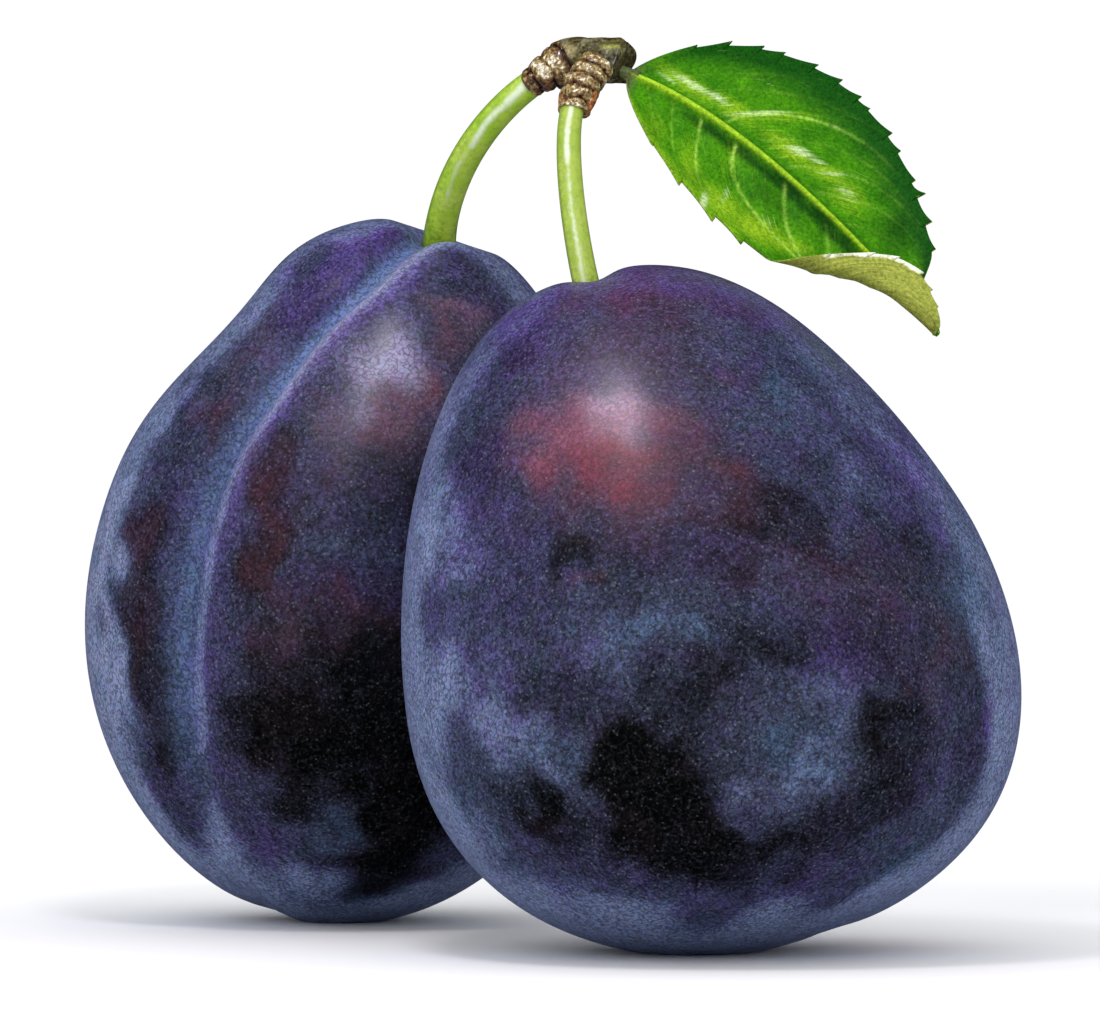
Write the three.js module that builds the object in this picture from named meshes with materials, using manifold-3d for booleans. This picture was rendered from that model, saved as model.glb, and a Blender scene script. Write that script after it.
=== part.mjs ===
// Two European plums on one woody fruiting spur, with their stalks and a small leaf, as picked.
// Millimetres, +Z up. Both fruits stand stalk end up on small flat spots in the plane Z = 0.
// The origin is under the middle of the whole, X runs from the back fruit's side to the front fruit's
// side and Y runs from the front fruit to the back one.
import * as THREE from "three";
import { mergeVertices } from "three/addons/utils/BufferGeometryUtils.js";
import Module from "manifold-3d";

const wasm = await Module();
wasm.setup();

// ---------- driving dimensions ----------

// A fruit is an egg on its own axis: blossom end down, stalk end up, and its suture towards local +X.
const FRONT_FRUIT = {
  length: 56.8, // blossom end to stalk end, before the cavity
  halfDepth: 25.7, // axis to the suture side and to the side behind it
  halfThickness: 24.4, // axis to a cheek
  taper: 0.166, // how much narrower the stalk half is
  sutureTaper: -0.033, // extra taper on the suture side
  fullness: 0.883, // under 1 squares the egg's shoulders
  threeLobe: 0.022, // third harmonic of the outline
  waist: { share: 0, at: 0.9, side: 0 }, // radius lost below one shoulder, its polar angle, its side
  shoulderSkew: -2.9, // lift of the shoulder on the suture side
  bend: -3.8, // how far the belly is pushed towards the suture
  cavity: { depth: 3.0, radius: 2.9, along: -1.5, across: 1.7 }, // stalk cavity and its place off the axis
  groove: { depth: 1.2, lobes: 0.5 },
  centre: { x: 13.45, y: -15.1 },
  turn: 50, // degrees from +X to the suture
  lean: { x: -17.7, y: 5 }, // degrees that the stalk end leans towards +X and +Y
};
const BACK_FRUIT = {
  length: 60.4,
  halfDepth: 23.5,
  halfThickness: 21.65,
  taper: 0.075,
  sutureTaper: -0.091,
  fullness: 1.027,
  threeLobe: 0.014,
  waist: { share: 0.12, at: 0.9, side: -58 },
  shoulderSkew: 1.7,
  bend: 1.6,
  cavity: { depth: 3.0, radius: 2.9, along: 0, across: 0 },
  groove: { depth: 1.5, lobes: 0.7 },
  centre: { x: -15.25, y: 19.5 },
  turn: -122,
  lean: { x: 12.6, y: -8 },
};
const SEAT_DEPTH = 0.45; // how much of a fruit its flat spot takes off
// The suture is a sharp crease in a soft dip between two lobes. Each has a half-width, starts between two
// distances from the fruit's axis, and keeps a share of its depth at the blossom end.
const CREASE = { width: 1.6, start: [0.5, 4], kept: 0.35 };
const DIP = { width: 6, start: [2, 8], kept: 0.3 };
const SUTURE_FADE = [-0.9, 0.2]; // cosines of the polar angles between which the suture grows to full depth
const WAIST_WIDTH = 0.3; // radians
const STYLE_SCAR = { depth: 0.6, radius: 2.2 }; // dimple at the blossom end

// Stalks run down from the spur into the cavities. Radii go from the spur's end to the fruit's.
const FRONT_STALK = {
  path: [[2.06, -2.2, 69.4], [0.54, -3.8, 67.3], [1.83, -10.5, 57.0], [3.75, -12.9, 50.8]],
  radius: [0.95, 1.12],
};
const BACK_STALK = {
  path: [[-0.74, 2.6, 71.1], [-4.6, 5.0, 68.8], [-10.0, 13.5, 62.3], [-9.4, 15.7, 54.4]],
  radius: [1.12, 1.36],
};
const NECK = { share: 0.28, from: 0.05, to: 0.09 }; // a stalk is thinner where the spur holds it
const FLARE = { share: 0.12, length: 0.12 }; // and thicker where the fruit does

// The spur: a stub of twig with a broken end, a ringed knuckle over each stalk and two bud scales.
const TWIG = {
  path: [[0.5, 3.3, 72.0], [2.4, 2.4, 72.4], [4.2, 1.4, 72.5], [6.0, 0.4, 72.3]],
  radius: [1.9, 2.0],
};
const BACK_KNUCKLE = {
  path: [[1.5, 2.3, 72.3], [0.4, 2.0, 71.9], [-0.7, 2.3, 71.25], [-1.7, 2.95, 70.6]],
  radius: [1.95, 1.38],
  rings: 3,
  bulge: 0,
};
const FRONT_KNUCKLE = {
  path: [[4.1, -0.1, 72.5], [3.2, -1.2, 71.4], [2.1, -1.9, 70.1], [1.75, -2.75, 68.3]],
  radius: [1.25, 1.22],
  rings: 5,
  bulge: 0.22,
};
const RING = { height: 0.14, tilt: 0.05, lump: 0.07 };
const BARK = { swell: 0.06, pinch: 0.04 }; // shares of the twig's radius
const BUD_SCALES = [
  { from: [3.7, -2.0, 70.3], to: [2.75, -3.1, 68.0], halfWidth: 0.62, halfThickness: 0.42 },
  { from: [0.95, -2.0, 70.2], to: [0.85, -3.0, 68.0], halfWidth: 0.5, halfThickness: 0.4 },
];

// The leaf: the paths of its midrib and stalk, its blade's half-widths and how each half is bent.
const MIDRIB = [[6.35, -0.2, 71.3], [14.2, -1.6, 68.6], [24.2, -4.5, 59.3], [31.7, -7.5, 50.1]];
const PETIOLE = [[4.4, 0.5, 71.6], [5.1, 0.3, 71.6], [5.8, 0.0, 71.5], [6.9, -0.25, 71.2]];
const PETIOLE_RADIUS = 0.7;
const RIB = { radius: [0.6, 0.35], behind: 0.35, until: 0.9 };
const BLADE = {
  thickness: 0.6,
  facing: [0, -0.839, 0.545], // the way that its upper face looks
  base: 0.3, // half-width where the blade starts
  upper: { halfWidth: 10.0, peak: 0.87, fullness: 0.98, slope: [-22, 10] },
  lower: { halfWidth: 7.9, peak: 0.98, fullness: 0.64, slope: [-8, 32] },
  teeth: { count: 15, height: 0.6, rise: 0.8, inset: 0.84 }, // down each margin, within the inset share
};
// Near the tip the lower half is folded over onto the upper face, along a line that crosses it aslant.
const FOLD = {
  angle: 172,
  radius: 0.8,
  outside: 1.4, // where the line is, as a share of the half-width, before the fold starts
  inside: 0.3, // and once it is whole
  from: 0.51, // shares of the midrib between which the line crosses the margin
  to: 0.87,
  tipWidth: [0.5, 2.5], // too narrow to fold, and wide enough
};

const PLACE = [0.3, 0.65, 0]; // brings the middle of the whole over the origin
const GAP = 0.25; // clearance round a stalk where it enters a fruit or the spur

// Fineness: facets round and along each form.
const FRUIT_GRID = { around: 54, along: 34, crowdAround: 0.62, crowdAlong: 0.55 };
const STALK_GRID = [14, 18];
const TWIG_GRID = [16, 8];
const KNUCKLE_GRID = [16, 6]; // six along for each ring
const SCALE_GRID = [12, 8];
const RIB_GRID = [10, 18];
const PETIOLE_GRID = [12, 4];
const BLADE_ROWS = { lower: 16, upper: 8 };
const SLOPE_STEPS = 60;

const FINISHES = {
  skin: { color: 0x3a3a5e, roughness: 0.45 },
  stalk: { color: 0x94b83c, roughness: 0.4 },
  bark: { color: 0x7a6547, roughness: 0.7 },
  blade: { color: 0x4f8f1e, roughness: 0.45 },
};

// ---------- helpers ----------

const radians = THREE.MathUtils.degToRad;
const smooth = (x, from, to) => THREE.MathUtils.smoothstep(x, from, to);
const bell = (x, width) => Math.exp(-((x / width) ** 2));
const mix = THREE.MathUtils.lerp;
const bezier = (points) => new THREE.CubicBezierCurve3(...points.map((p) => new THREE.Vector3(...p)));

// Moves every vertex of a geometry through a function of the vertex, and keeps only its positions.
function carry(geometry, move) {
  const place = geometry.getAttribute("position");
  const vertex = new THREE.Vector3();
  for (let i = 0; i < place.count; i++) {
    vertex.fromBufferAttribute(place, i);
    place.setXYZ(i, ...move(vertex).toArray());
  }
  geometry.deleteAttribute("normal");
  geometry.deleteAttribute("uv");
  return geometry;
}

// A closed geometry as a solid for joining and cutting.
function solidOf(geometry) {
  const merged = mergeVertices(geometry, 1e-4);
  return new wasm.Manifold(
    new wasm.Mesh({
      numProp: 3,
      vertProperties: merged.getAttribute("position").array,
      triVerts: new Uint32Array(merged.index.array),
    }),
  );
}

// A solid as a named mesh with one finish.
function meshOf(name, solid, finish) {
  const { numProp, vertProperties, triVerts } = solid.getMesh();
  const buffer = new THREE.InterleavedBuffer(vertProperties, numProp);
  const places = new THREE.InterleavedBufferAttribute(buffer, 3, 0);
  const geometry = new THREE.BufferGeometry();
  geometry.setAttribute("position", new THREE.BufferAttribute(new Float32Array(places.count * 3), 3));
  for (let i = 0; i < places.count; i++) {
    geometry.attributes.position.setXYZ(i, places.getX(i), places.getY(i), places.getZ(i));
  }
  geometry.setIndex(new THREE.BufferAttribute(triVerts, 1));
  geometry.computeVertexNormals();
  const mesh = new THREE.Mesh(geometry, new THREE.MeshStandardMaterial({ ...finish, metalness: 0 }));
  mesh.name = name;
  return mesh;
}

// ---------- fruit ----------

// Radius of the fruit's outline as a share of its half-depth, at a polar angle from the stalk end.
function outline(fruit, polar, around) {
  const taper = fruit.taper + fruit.sutureTaper * Math.cos(around);
  const shape = (p) =>
    Math.sin(p) ** fruit.fullness * (1 - taper * Math.cos(p) + fruit.threeLobe * Math.cos(3 * p));
  let widest = 0;
  for (let p = 0; p <= Math.PI; p += 0.01) widest = Math.max(widest, shape(p));
  const { share, at, side } = fruit.waist;
  const facing = 0.5 + 0.5 * Math.cos(around - radians(side));
  return (shape(polar) / widest) * (1 - share * facing * bell(polar - at, WAIST_WIDTH));
}

// A point of the skin in the fruit's own frame: an egg, less the stalk cavity, the suture and the scar.
function skinPoint(fruit, polar, around) {
  const { cavity, groove } = fruit;
  const share = polar > 0 && polar < Math.PI ? outline(fruit, polar, around) : 0;
  const x = share * fruit.halfDepth * Math.cos(around);
  const y = share * fruit.halfThickness * Math.sin(around);
  const upper = polar < Math.PI / 2 ? 1 : 0;
  const fromCavity = Math.hypot(x - cavity.along, y - cavity.across);
  const z =
    (fruit.length / 2) * Math.cos(polar) +
    upper * fruit.shoulderSkew * Math.cos(around) * Math.sin(2 * polar) -
    upper * cavity.depth * bell(fromCavity, cavity.radius) +
    (1 - upper) * STYLE_SCAR.depth * bell(Math.hypot(x, y), STYLE_SCAR.radius);
  const outward = new THREE.Vector3(
    x / fruit.halfDepth ** 2,
    y / fruit.halfThickness ** 2,
    (4 * z) / fruit.length ** 2,
  ).normalize();
  const fade = smooth(Math.cos(polar), ...SUTURE_FADE);
  const sunk =
    groove.depth * mix(CREASE.kept, 1, fade) * bell(y, CREASE.width) * smooth(x, ...CREASE.start) +
    groove.lobes * mix(DIP.kept, 1, fade) * bell(y, DIP.width) * smooth(x, ...DIP.start);
  return new THREE.Vector3(x + fruit.bend * Math.sin(polar) ** 2, y, z).addScaledVector(outward, -sunk);
}

// The fruit where it stands, on its flat spot. Vertices crowd towards the suture and the stalk.
function fruitSolid(fruit) {
  const turn = new THREE.Matrix4()
    .makeRotationY(radians(fruit.lean.x))
    .multiply(new THREE.Matrix4().makeRotationX(radians(-fruit.lean.y)))
    .multiply(new THREE.Matrix4().makeRotationZ(radians(fruit.turn)));
  const ball = new THREE.SphereGeometry(1, FRUIT_GRID.around, FRUIT_GRID.along).rotateX(Math.PI / 2);
  const skin = carry(ball, (v) => {
    const polar = Math.acos(THREE.MathUtils.clamp(v.z, -1, 1));
    const around = Math.hypot(v.x, v.y) > 1e-6 ? Math.atan2(v.y, v.x) : 0;
    const crowdedPolar = polar - FRUIT_GRID.crowdAlong * Math.sin(polar);
    const crowdedAround = around - FRUIT_GRID.crowdAround * Math.sin(around);
    return skinPoint(fruit, crowdedPolar, crowdedAround).applyMatrix4(turn);
  });
  skin.computeBoundingBox();
  skin.translate(fruit.centre.x, fruit.centre.y, -skin.boundingBox.min.z - SEAT_DEPTH);
  return solidOf(skin).trimByPlane([0, 0, 1], 0);
}

// ---------- stalks and spur ----------

// A round stem along a cubic curve, up to a share of its length. radiusAt(t, angle) gives its radius, and
// t runs from 0 to 1 along it. A clearance makes it wider and longer at both ends, for cutting its hole.
function stem(points, radiusAt, [sides, steps], { until = 1, clearance = 0 } = {}) {
  const curve = bezier(points);
  const side = new THREE.Vector3(0, 1, 0);
  return carry(new THREE.CylinderGeometry(1, 1, 1, sides, steps), (v) => {
    const t = THREE.MathUtils.clamp(v.y + 0.5, 0, 1);
    const along = curve.getTangent(t * until);
    const across = new THREE.Vector3().crossVectors(side, along).normalize();
    const other = new THREE.Vector3().crossVectors(across, along);
    const onAxis = Math.hypot(v.x, v.z) < 1e-6;
    const radius = onAxis ? 0 : radiusAt(t, Math.atan2(v.z, v.x)) + clearance;
    const past = t === 0 ? -clearance : t === 1 ? clearance : 0;
    return curve
      .getPoint(t * until)
      .addScaledVector(along, past)
      .addScaledVector(across, v.x * radius)
      .addScaledVector(other, v.z * radius);
  });
}

// A stalk: necked where the spur holds it, and a little flared where the fruit does.
function stalkSolid({ path, radius }, clearance = 0) {
  const radiusAt = (t) => {
    const neck = 1 - NECK.share * (1 - smooth(t, NECK.from, NECK.to));
    return mix(...radius, t) * neck * (1 + FLARE.share * bell(t - 1, FLARE.length));
  };
  return solidOf(stem(path, radiusAt, STALK_GRID, { clearance }));
}

// A knuckle with its ring scars: shallow ridges, slightly tilted, on a lumpy stub.
function knuckleSolid({ path, radius, rings, bulge }) {
  const radiusAt = (t, angle) => {
    const ring = RING.height * Math.cos(2 * Math.PI * rings * (t + RING.tilt * Math.sin(angle)));
    const lumps = RING.lump * Math.sin(3 * angle + 4 * t);
    return mix(...radius, t) + bulge * Math.sin(Math.PI * t) + ring + lumps;
  };
  return solidOf(stem(path, radiusAt, [KNUCKLE_GRID[0], KNUCKLE_GRID[1] * rings]));
}

// The twig, which swells and pinches a little.
function twigSolid({ path, radius }) {
  const radiusAt = (t, angle) => {
    const swell = BARK.swell * Math.sin(2 * angle + 6 * t);
    const pinch = BARK.pinch * Math.sin(5 * angle - 9 * t);
    return mix(...radius, t) * (1 + swell + pinch);
  };
  return solidOf(stem(path, radiusAt, TWIG_GRID));
}

// A bud scale: a small flattened lens that lies along a knuckle's side.
function scaleSolid({ from, to, halfWidth, halfThickness }) {
  const [start, end] = [new THREE.Vector3(...from), new THREE.Vector3(...to)];
  const middle = start.clone().lerp(end, 0.5);
  const along = end.clone().sub(start);
  const across = new THREE.Vector3(0, 1, 0).cross(along).normalize();
  const out = across.clone().cross(along).normalize();
  const lens = new THREE.SphereGeometry(1, ...SCALE_GRID);
  return solidOf(
    carry(lens, (v) =>
      middle
        .clone()
        .addScaledVector(along, v.y / 2)
        .addScaledVector(across, v.x * halfThickness)
        .addScaledVector(out, v.z * halfWidth),
    ),
  );
}

function spurSolid() {
  const knuckles = knuckleSolid(BACK_KNUCKLE).add(knuckleSolid(FRONT_KNUCKLE));
  return BUD_SCALES.reduce((whole, scale) => whole.add(scaleSolid(scale)), twigSolid(TWIG).add(knuckles));
}

// ---------- leaf ----------

const midrib = bezier(MIDRIB);

// Half-width of the blade on one side of the midrib: a sine arch whose peak is shifted along u.
function bladeWidth(u, half) {
  const arch = Math.sin(Math.PI * Math.min(u, 0.999) ** half.peak);
  return BLADE.base + half.halfWidth * arch ** half.fullness;
}

// Margin teeth point to the tip: each rises slowly and falls back at once.
function tooth(u) {
  const { count, rise } = BLADE.teeth;
  const phase = (u * count) % 1;
  return phase < rise ? phase / rise : (1 - phase) / (1 - rise);
}

// Slope of a half's cross-section, in radians, at a distance s from the midrib.
function slope(u, s, upper) {
  const half = upper ? BLADE.upper : BLADE.lower;
  const width = bladeWidth(u, half);
  const bent = mix(...half.slope, smooth(s / width, 0.05, upper ? 1 : 0.9));
  if (upper) return radians(bent);
  const foldAt = width * mix(FOLD.outside, FOLD.inside, smooth(u, FOLD.from, FOLD.to));
  const reach = (Math.PI / 2) * FOLD.radius;
  const share = smooth(s, foldAt - reach, foldAt + reach) * smooth(width, ...FOLD.tipWidth);
  return radians(mix(bent, FOLD.angle, share));
}

// A point of the blade's middle surface. v runs from -1 at the lower margin to +1 at the upper one.
function bladePoint(u, v) {
  const upper = v > 0;
  const width = bladeWidth(u, upper ? BLADE.upper : BLADE.lower);
  const { inset, height } = BLADE.teeth;
  const edge = height * Math.sin(Math.PI * u) ** 0.5 * smooth(Math.abs(v), inset, 1);
  const reach = Math.abs(v) * width + edge * tooth(u);
  const along = midrib.getTangent(u);
  const side = new THREE.Vector3(...BLADE.facing).cross(along).normalize();
  const face = along.clone().cross(side);
  const step = reach / SLOPE_STEPS;
  let out = 0;
  let rise = 0;
  for (let i = 0; i < SLOPE_STEPS; i++) {
    const angle = slope(u, (i + 0.5) * step, upper);
    out += Math.cos(angle) * step;
    rise += Math.sin(angle) * step;
  }
  return midrib.getPoint(u).addScaledVector(side, upper ? out : -out).addScaledVector(face, rise);
}

function bladeNormal(u, v) {
  const step = 1e-3;
  const [u0, u1] = [Math.max(u - step, 0), Math.min(u + step, 1)];
  const [v0, v1] = [Math.max(v - step, -1), Math.min(v + step, 1)];
  const du = bladePoint(u1, v).sub(bladePoint(u0, v));
  const dv = bladePoint(u, v1).sub(bladePoint(u, v0));
  return du.cross(dv).normalize();
}

// The blade as a closed slab: one grid for both faces, split the same way, and a wall round the margin.
function bladeGeometry() {
  const { count, rise } = BLADE.teeth;
  const us = [];
  for (let k = 0; k < count; k++) us.push(k / count, (k + rise / 2) / count, (k + rise) / count);
  us.push(1);
  const vs = [];
  for (let k = -BLADE_ROWS.lower; k <= 0; k++) vs.push(k / BLADE_ROWS.lower);
  for (let k = 1; k <= BLADE_ROWS.upper; k++) vs.push(k / BLADE_ROWS.upper);
  const columns = us.length;
  const rows = vs.length;
  const places = [];
  for (const face of [0.5, -0.5]) {
    for (const v of vs) {
      for (const u of us) {
        const place = bladePoint(u, v).addScaledVector(bladeNormal(u, v), face * BLADE.thickness);
        places.push(...place.toArray());
      }
    }
  }
  const at = (face, row, column) => face * rows * columns + row * columns + column;
  const index = [];
  for (let r = 0; r + 1 < rows; r++) {
    for (let c = 0; c + 1 < columns; c++) {
      const [a, b, d, e] = [at(0, r, c), at(0, r, c + 1), at(0, r + 1, c), at(0, r + 1, c + 1)];
      const under = rows * columns;
      index.push(a, b, e, a, e, d);
      index.push(a + under, e + under, b + under, a + under, d + under, e + under);
    }
  }
  const rim = [];
  for (let c = 0; c < columns; c++) rim.push([0, c]);
  for (let r = 1; r < rows; r++) rim.push([r, columns - 1]);
  for (let c = columns - 2; c >= 0; c--) rim.push([rows - 1, c]);
  for (let r = rows - 2; r > 0; r--) rim.push([r, 0]);
  rim.forEach(([r, c], i) => {
    const [nextRow, nextColumn] = rim[(i + 1) % rim.length];
    const [a, b] = [at(0, r, c), at(0, nextRow, nextColumn)];
    const [d, e] = [at(1, r, c), at(1, nextRow, nextColumn)];
    index.push(a, d, e, a, e, b);
  });
  const geometry = new THREE.BufferGeometry();
  geometry.setAttribute("position", new THREE.BufferAttribute(new Float32Array(places), 3));
  geometry.setIndex(index);
  return geometry;
}

function petioleSolid(clearance = 0) {
  return solidOf(stem(PETIOLE, () => PETIOLE_RADIUS, PETIOLE_GRID, { clearance }));
}

function leafSolid() {
  const under = MIDRIB.map(([x, y, z], i) => {
    const back = bladeNormal(i / 3, 0.01).multiplyScalar(-RIB.behind);
    return [x + back.x, y + back.y, z + back.z];
  });
  const rib = solidOf(stem(under, (t) => mix(...RIB.radius, t), RIB_GRID, { until: RIB.until }));
  return solidOf(bladeGeometry()).add(rib).add(petioleSolid());
}

// ---------- the whole ----------

const frontStalk = stalkSolid(FRONT_STALK);
const backStalk = stalkSolid(BACK_STALK);
const frontHole = stalkSolid(FRONT_STALK, GAP);
const backHole = stalkSolid(BACK_STALK, GAP);
const petioleHole = petioleSolid(GAP);

const cluster = new THREE.Group();
cluster.add(
  meshOf("plum_front", fruitSolid(FRONT_FRUIT).subtract(frontHole), FINISHES.skin),
  meshOf("plum_back", fruitSolid(BACK_FRUIT).subtract(backHole), FINISHES.skin),
  meshOf("stalk_front", frontStalk, FINISHES.stalk),
  meshOf("stalk_back", backStalk, FINISHES.stalk),
  meshOf("spur", spurSolid().subtract(frontHole).subtract(backHole).subtract(petioleHole), FINISHES.bark),
  meshOf("leaf", leafSolid(), FINISHES.blade),
);

cluster.position.set(...PLACE);

export default cluster;
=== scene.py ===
# %% [markdown]
# # Two blue plums on one fruiting spur
#
# The object is a pair of ripe European plums that grew on one woody spur, with their green stalks and a
# small toothed leaf. The CAD model holds its true sizes. This lesson dresses it: each grown piece becomes a
# fine surface worked out from a formula, with a finish that is named for what the real one is.

# %% Load the CAD frame
from functools import partial

import bpy
import numpy as np
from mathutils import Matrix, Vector


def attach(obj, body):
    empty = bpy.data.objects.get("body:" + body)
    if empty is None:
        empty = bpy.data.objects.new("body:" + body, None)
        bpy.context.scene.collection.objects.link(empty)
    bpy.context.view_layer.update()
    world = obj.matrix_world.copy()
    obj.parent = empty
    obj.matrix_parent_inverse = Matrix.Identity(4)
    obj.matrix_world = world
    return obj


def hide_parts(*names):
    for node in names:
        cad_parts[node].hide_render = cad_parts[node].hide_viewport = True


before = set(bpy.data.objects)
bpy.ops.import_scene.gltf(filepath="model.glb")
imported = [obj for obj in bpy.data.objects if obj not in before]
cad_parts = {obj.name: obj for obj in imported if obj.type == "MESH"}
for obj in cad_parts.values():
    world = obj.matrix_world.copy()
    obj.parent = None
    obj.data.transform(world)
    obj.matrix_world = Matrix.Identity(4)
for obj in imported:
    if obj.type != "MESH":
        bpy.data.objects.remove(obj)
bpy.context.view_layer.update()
MM = 0.001  # metres in a millimetre

# %% [markdown]
# ## Small helpers
#
# Every shape below is a few smooth curves multiplied together, so a handful of curve functions comes first.
# They take whole numpy arrays: one call moves a hundred thousand points, where a loop in Python would
# crawl.


# %% Curves on arrays
def smooth(x, start, end):
    """A smooth step: 0 before start, 1 after end, and 3t squared less 2t cubed between."""
    t = np.clip((x - start) / (end - start), 0, 1)
    return t * t * (3 - 2 * t)


def bell(x, width):
    """A bell curve: 1 in the middle, and 1/e at one width from it."""
    return np.exp(-((x / width) ** 2))


def mix(a, b, share):
    """A straight blend: a where share is 0, b where it is 1."""
    return a + (b - a) * share


def unit(vectors):
    """Each vector divided by its length."""
    return vectors / np.maximum(np.linalg.norm(vectors, axis=-1, keepdims=True), 1e-12)


def outwards(grid):
    """A grid's own direction at each point: the cross product of its steps along its rows and its columns."""
    return unit(np.cross(np.gradient(grid, axis=1), np.gradient(grid, axis=0)))


def turned(axis, degrees):
    """The matrix that turns points about one axis, by the right hand."""
    i, j = {"x": (1, 2), "y": (2, 0), "z": (0, 1)}[axis]
    matrix = np.eye(3)
    matrix[i, i] = matrix[j, j] = np.cos(np.radians(degrees))
    matrix[j, i] = np.sin(np.radians(degrees))
    matrix[i, j] = -matrix[j, i]
    return matrix


def ripple(points, length, seed):
    """A gentle swell in space: the mean of eight sine waves, near one wavelength, in random directions."""
    draw = np.random.default_rng(seed)
    ways = unit(draw.normal(size=(8, 3))) * (2 * np.pi / length) * draw.uniform(0.7, 1.4, (8, 1))
    return np.sin(points @ ways.T + draw.uniform(0, 2 * np.pi, 8)).mean(axis=-1)


# %% [markdown]
# Stalks, knuckles, twig and leaf all follow cubic curves with four control points, the same ones as in the
# CAD model. A tube is a grid with one ring of points for each step along its curve. Its ends are closed
# with a fan of triangles, so that every piece is a sealed surface whose faces point outwards.


# %% Curves in space
def bezier(path, t):
    """The cubic curve through the first and last of four points: their blend by (1-t) and t, each cubed."""
    a, b, c, d = np.array(path, float)
    t = np.asarray(t, float)[..., None]
    return (1 - t) ** 3 * a + 3 * (1 - t) ** 2 * t * b + 3 * (1 - t) * t**2 * c + t**3 * d


def bezier_way(path, t):
    """Which way that curve runs: its derivative, as a unit vector."""
    a, b, c, d = np.array(path, float)
    t = np.asarray(t, float)[..., None]
    return unit((1 - t) ** 2 * (b - a) + 2 * (1 - t) * t * (c - b) + t**2 * (d - c))


def closed_tube(rings, start, end):
    """A sealed mesh from rings of points, counter-clockwise as they travel, with a fan to a point at each
    end."""
    rows, columns = rings.shape[:2]
    here = np.arange(columns)
    after = (here + 1) % columns
    row = np.arange(rows - 1)[:, None] * columns
    walls = np.stack([row + here, row + after, row + columns + after, row + columns + here], axis=-1)
    first, last = rows * columns, rows * columns + 1
    top_row = (rows - 1) * columns
    low = np.stack([np.full(columns, first), after, here], axis=-1)
    high = np.stack([np.full(columns, last), top_row + here, top_row + after], axis=-1)
    points = np.vstack([rings.reshape(-1, 3), start, end])
    return points, walls.reshape(-1, 4).tolist() + low.tolist() + high.tolist()


def ringed(values):
    """One value for each point of a closed tube: the grid's, then the first and last ring's mean for its
    ends."""
    return np.concatenate([values.reshape(-1), [values[0].mean(), values[-1].mean()]])


# %% [markdown]
# A tube needs two directions across its curve. They are the cross products of the curve's own direction
# with the Y axis, which none of these curves follows, so the tube never twists.

# %% Tubes
Y_AXIS = np.array([0.0, 1.0, 0.0])


def stem(path, radius_at, rows, columns):
    """A sealed tube along a curve, with its share t and angle a at every point. Each ring is the curve's
    point plus the radius times (across cos a + other sin a)."""
    t = np.linspace(0, 1, rows)[:, None]
    angle = -np.linspace(0, 2 * np.pi, columns, endpoint=False)[None, :]
    way = bezier_way(path, t)
    across = unit(np.cross(Y_AXIS, way))
    other = np.cross(across, way)
    spoke = across * np.cos(angle)[..., None] + other * np.sin(angle)[..., None]
    rings = bezier(path, t) + spoke * radius_at(t, angle)[..., None]
    points, faces = closed_tube(rings, rings[0].mean(axis=0), rings[-1].mean(axis=0))
    return points, faces, ringed(t + 0 * angle), ringed(angle + 0 * t)


# %% [markdown]
# A piece is one mesh object at the origin. Its points are already where they belong, so it is never moved
# or scaled. Values that a finish needs at each point, such as how much wax lies there, go in as attributes.

# %% Putting a piece into the scene
PLACE = np.array([0.3, 0.65, 0.0])  # mm, which brings the middle of the whole over the origin


def joined(*parts):
    """Several sealed meshes as one: their points stacked, and their faces shifted past the points before."""
    points = np.vstack([p for p, _ in parts])
    starts = np.cumsum([0] + [len(p) for p, _ in parts[:-1]])
    faces = [[int(i) + int(s) for i in face] for (_, fs), s in zip(parts, starts) for face in fs]
    return points, faces


def make_piece(name, points, faces, node, slot, material, fields):
    """A smooth-shaded mesh object from points in mm, with its attributes and its finish."""
    mesh = bpy.data.meshes.new(name)
    mesh.from_pydata(((points + PLACE) * MM).tolist(), [], faces)
    mesh.polygons.foreach_set("use_smooth", np.ones(len(faces), bool))
    for field, values in fields.items():
        mesh.attributes.new(field, "FLOAT", "POINT").data.foreach_set("value", values.astype(np.float32))
    mesh.materials.append(material)
    mesh.validate()
    piece = bpy.data.objects.new(name, mesh)
    bpy.context.scene.collection.objects.link(piece)
    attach(piece, "root")
    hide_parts(node)
    corners = (points + PLACE).min(axis=0), (points + PLACE).max(axis=0)
    print(f"{name}: {len(points)} points, {len(faces)} faces, from", *np.round(corners, 1).tolist())


# %% [markdown]
# ## The view
#
# The camera stands 1.5 m away with a long lens and looks down by a few degrees, so the fruits keep their
# shape.

# %% Camera
VIEW_TILT = np.radians(2.6)  # down
VIEW_DISTANCE = 1512.5  # mm
VIEW_CENTRE = np.array([0.14, 0.0, 35.39])  # mm, in the middle of the view
SENSOR_WIDTH, LENS = 36, 600  # mm

camera = bpy.data.objects.new("camera", bpy.data.cameras.new("camera"))
camera.data.sensor_width = SENSOR_WIDTH
camera.data.lens = LENS
camera.data.clip_start, camera.data.clip_end = 0.1, 60
camera.location = (VIEW_CENTRE + VIEW_DISTANCE * np.array([0, -np.cos(VIEW_TILT), np.sin(VIEW_TILT)])) * MM
camera.rotation_euler = (np.pi / 2 - VIEW_TILT, 0, 0)
bpy.context.scene.collection.objects.link(camera)
bpy.context.scene.camera = camera
print("camera at", np.round(np.array(camera.location), 3).tolist())

# %% [markdown]
# ## How a finish is written
#
# A finish is a tree of nodes. One function adds a node, and two more write what repeats: a stack of colours
# laid over each other like coats of paint, and a shade that darkens or lightens what lies below it. Noise
# patterns are sized in millimetres. The coordinates are in metres, so a pattern's scale is 1000 divided by
# the width of its lumps.


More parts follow.
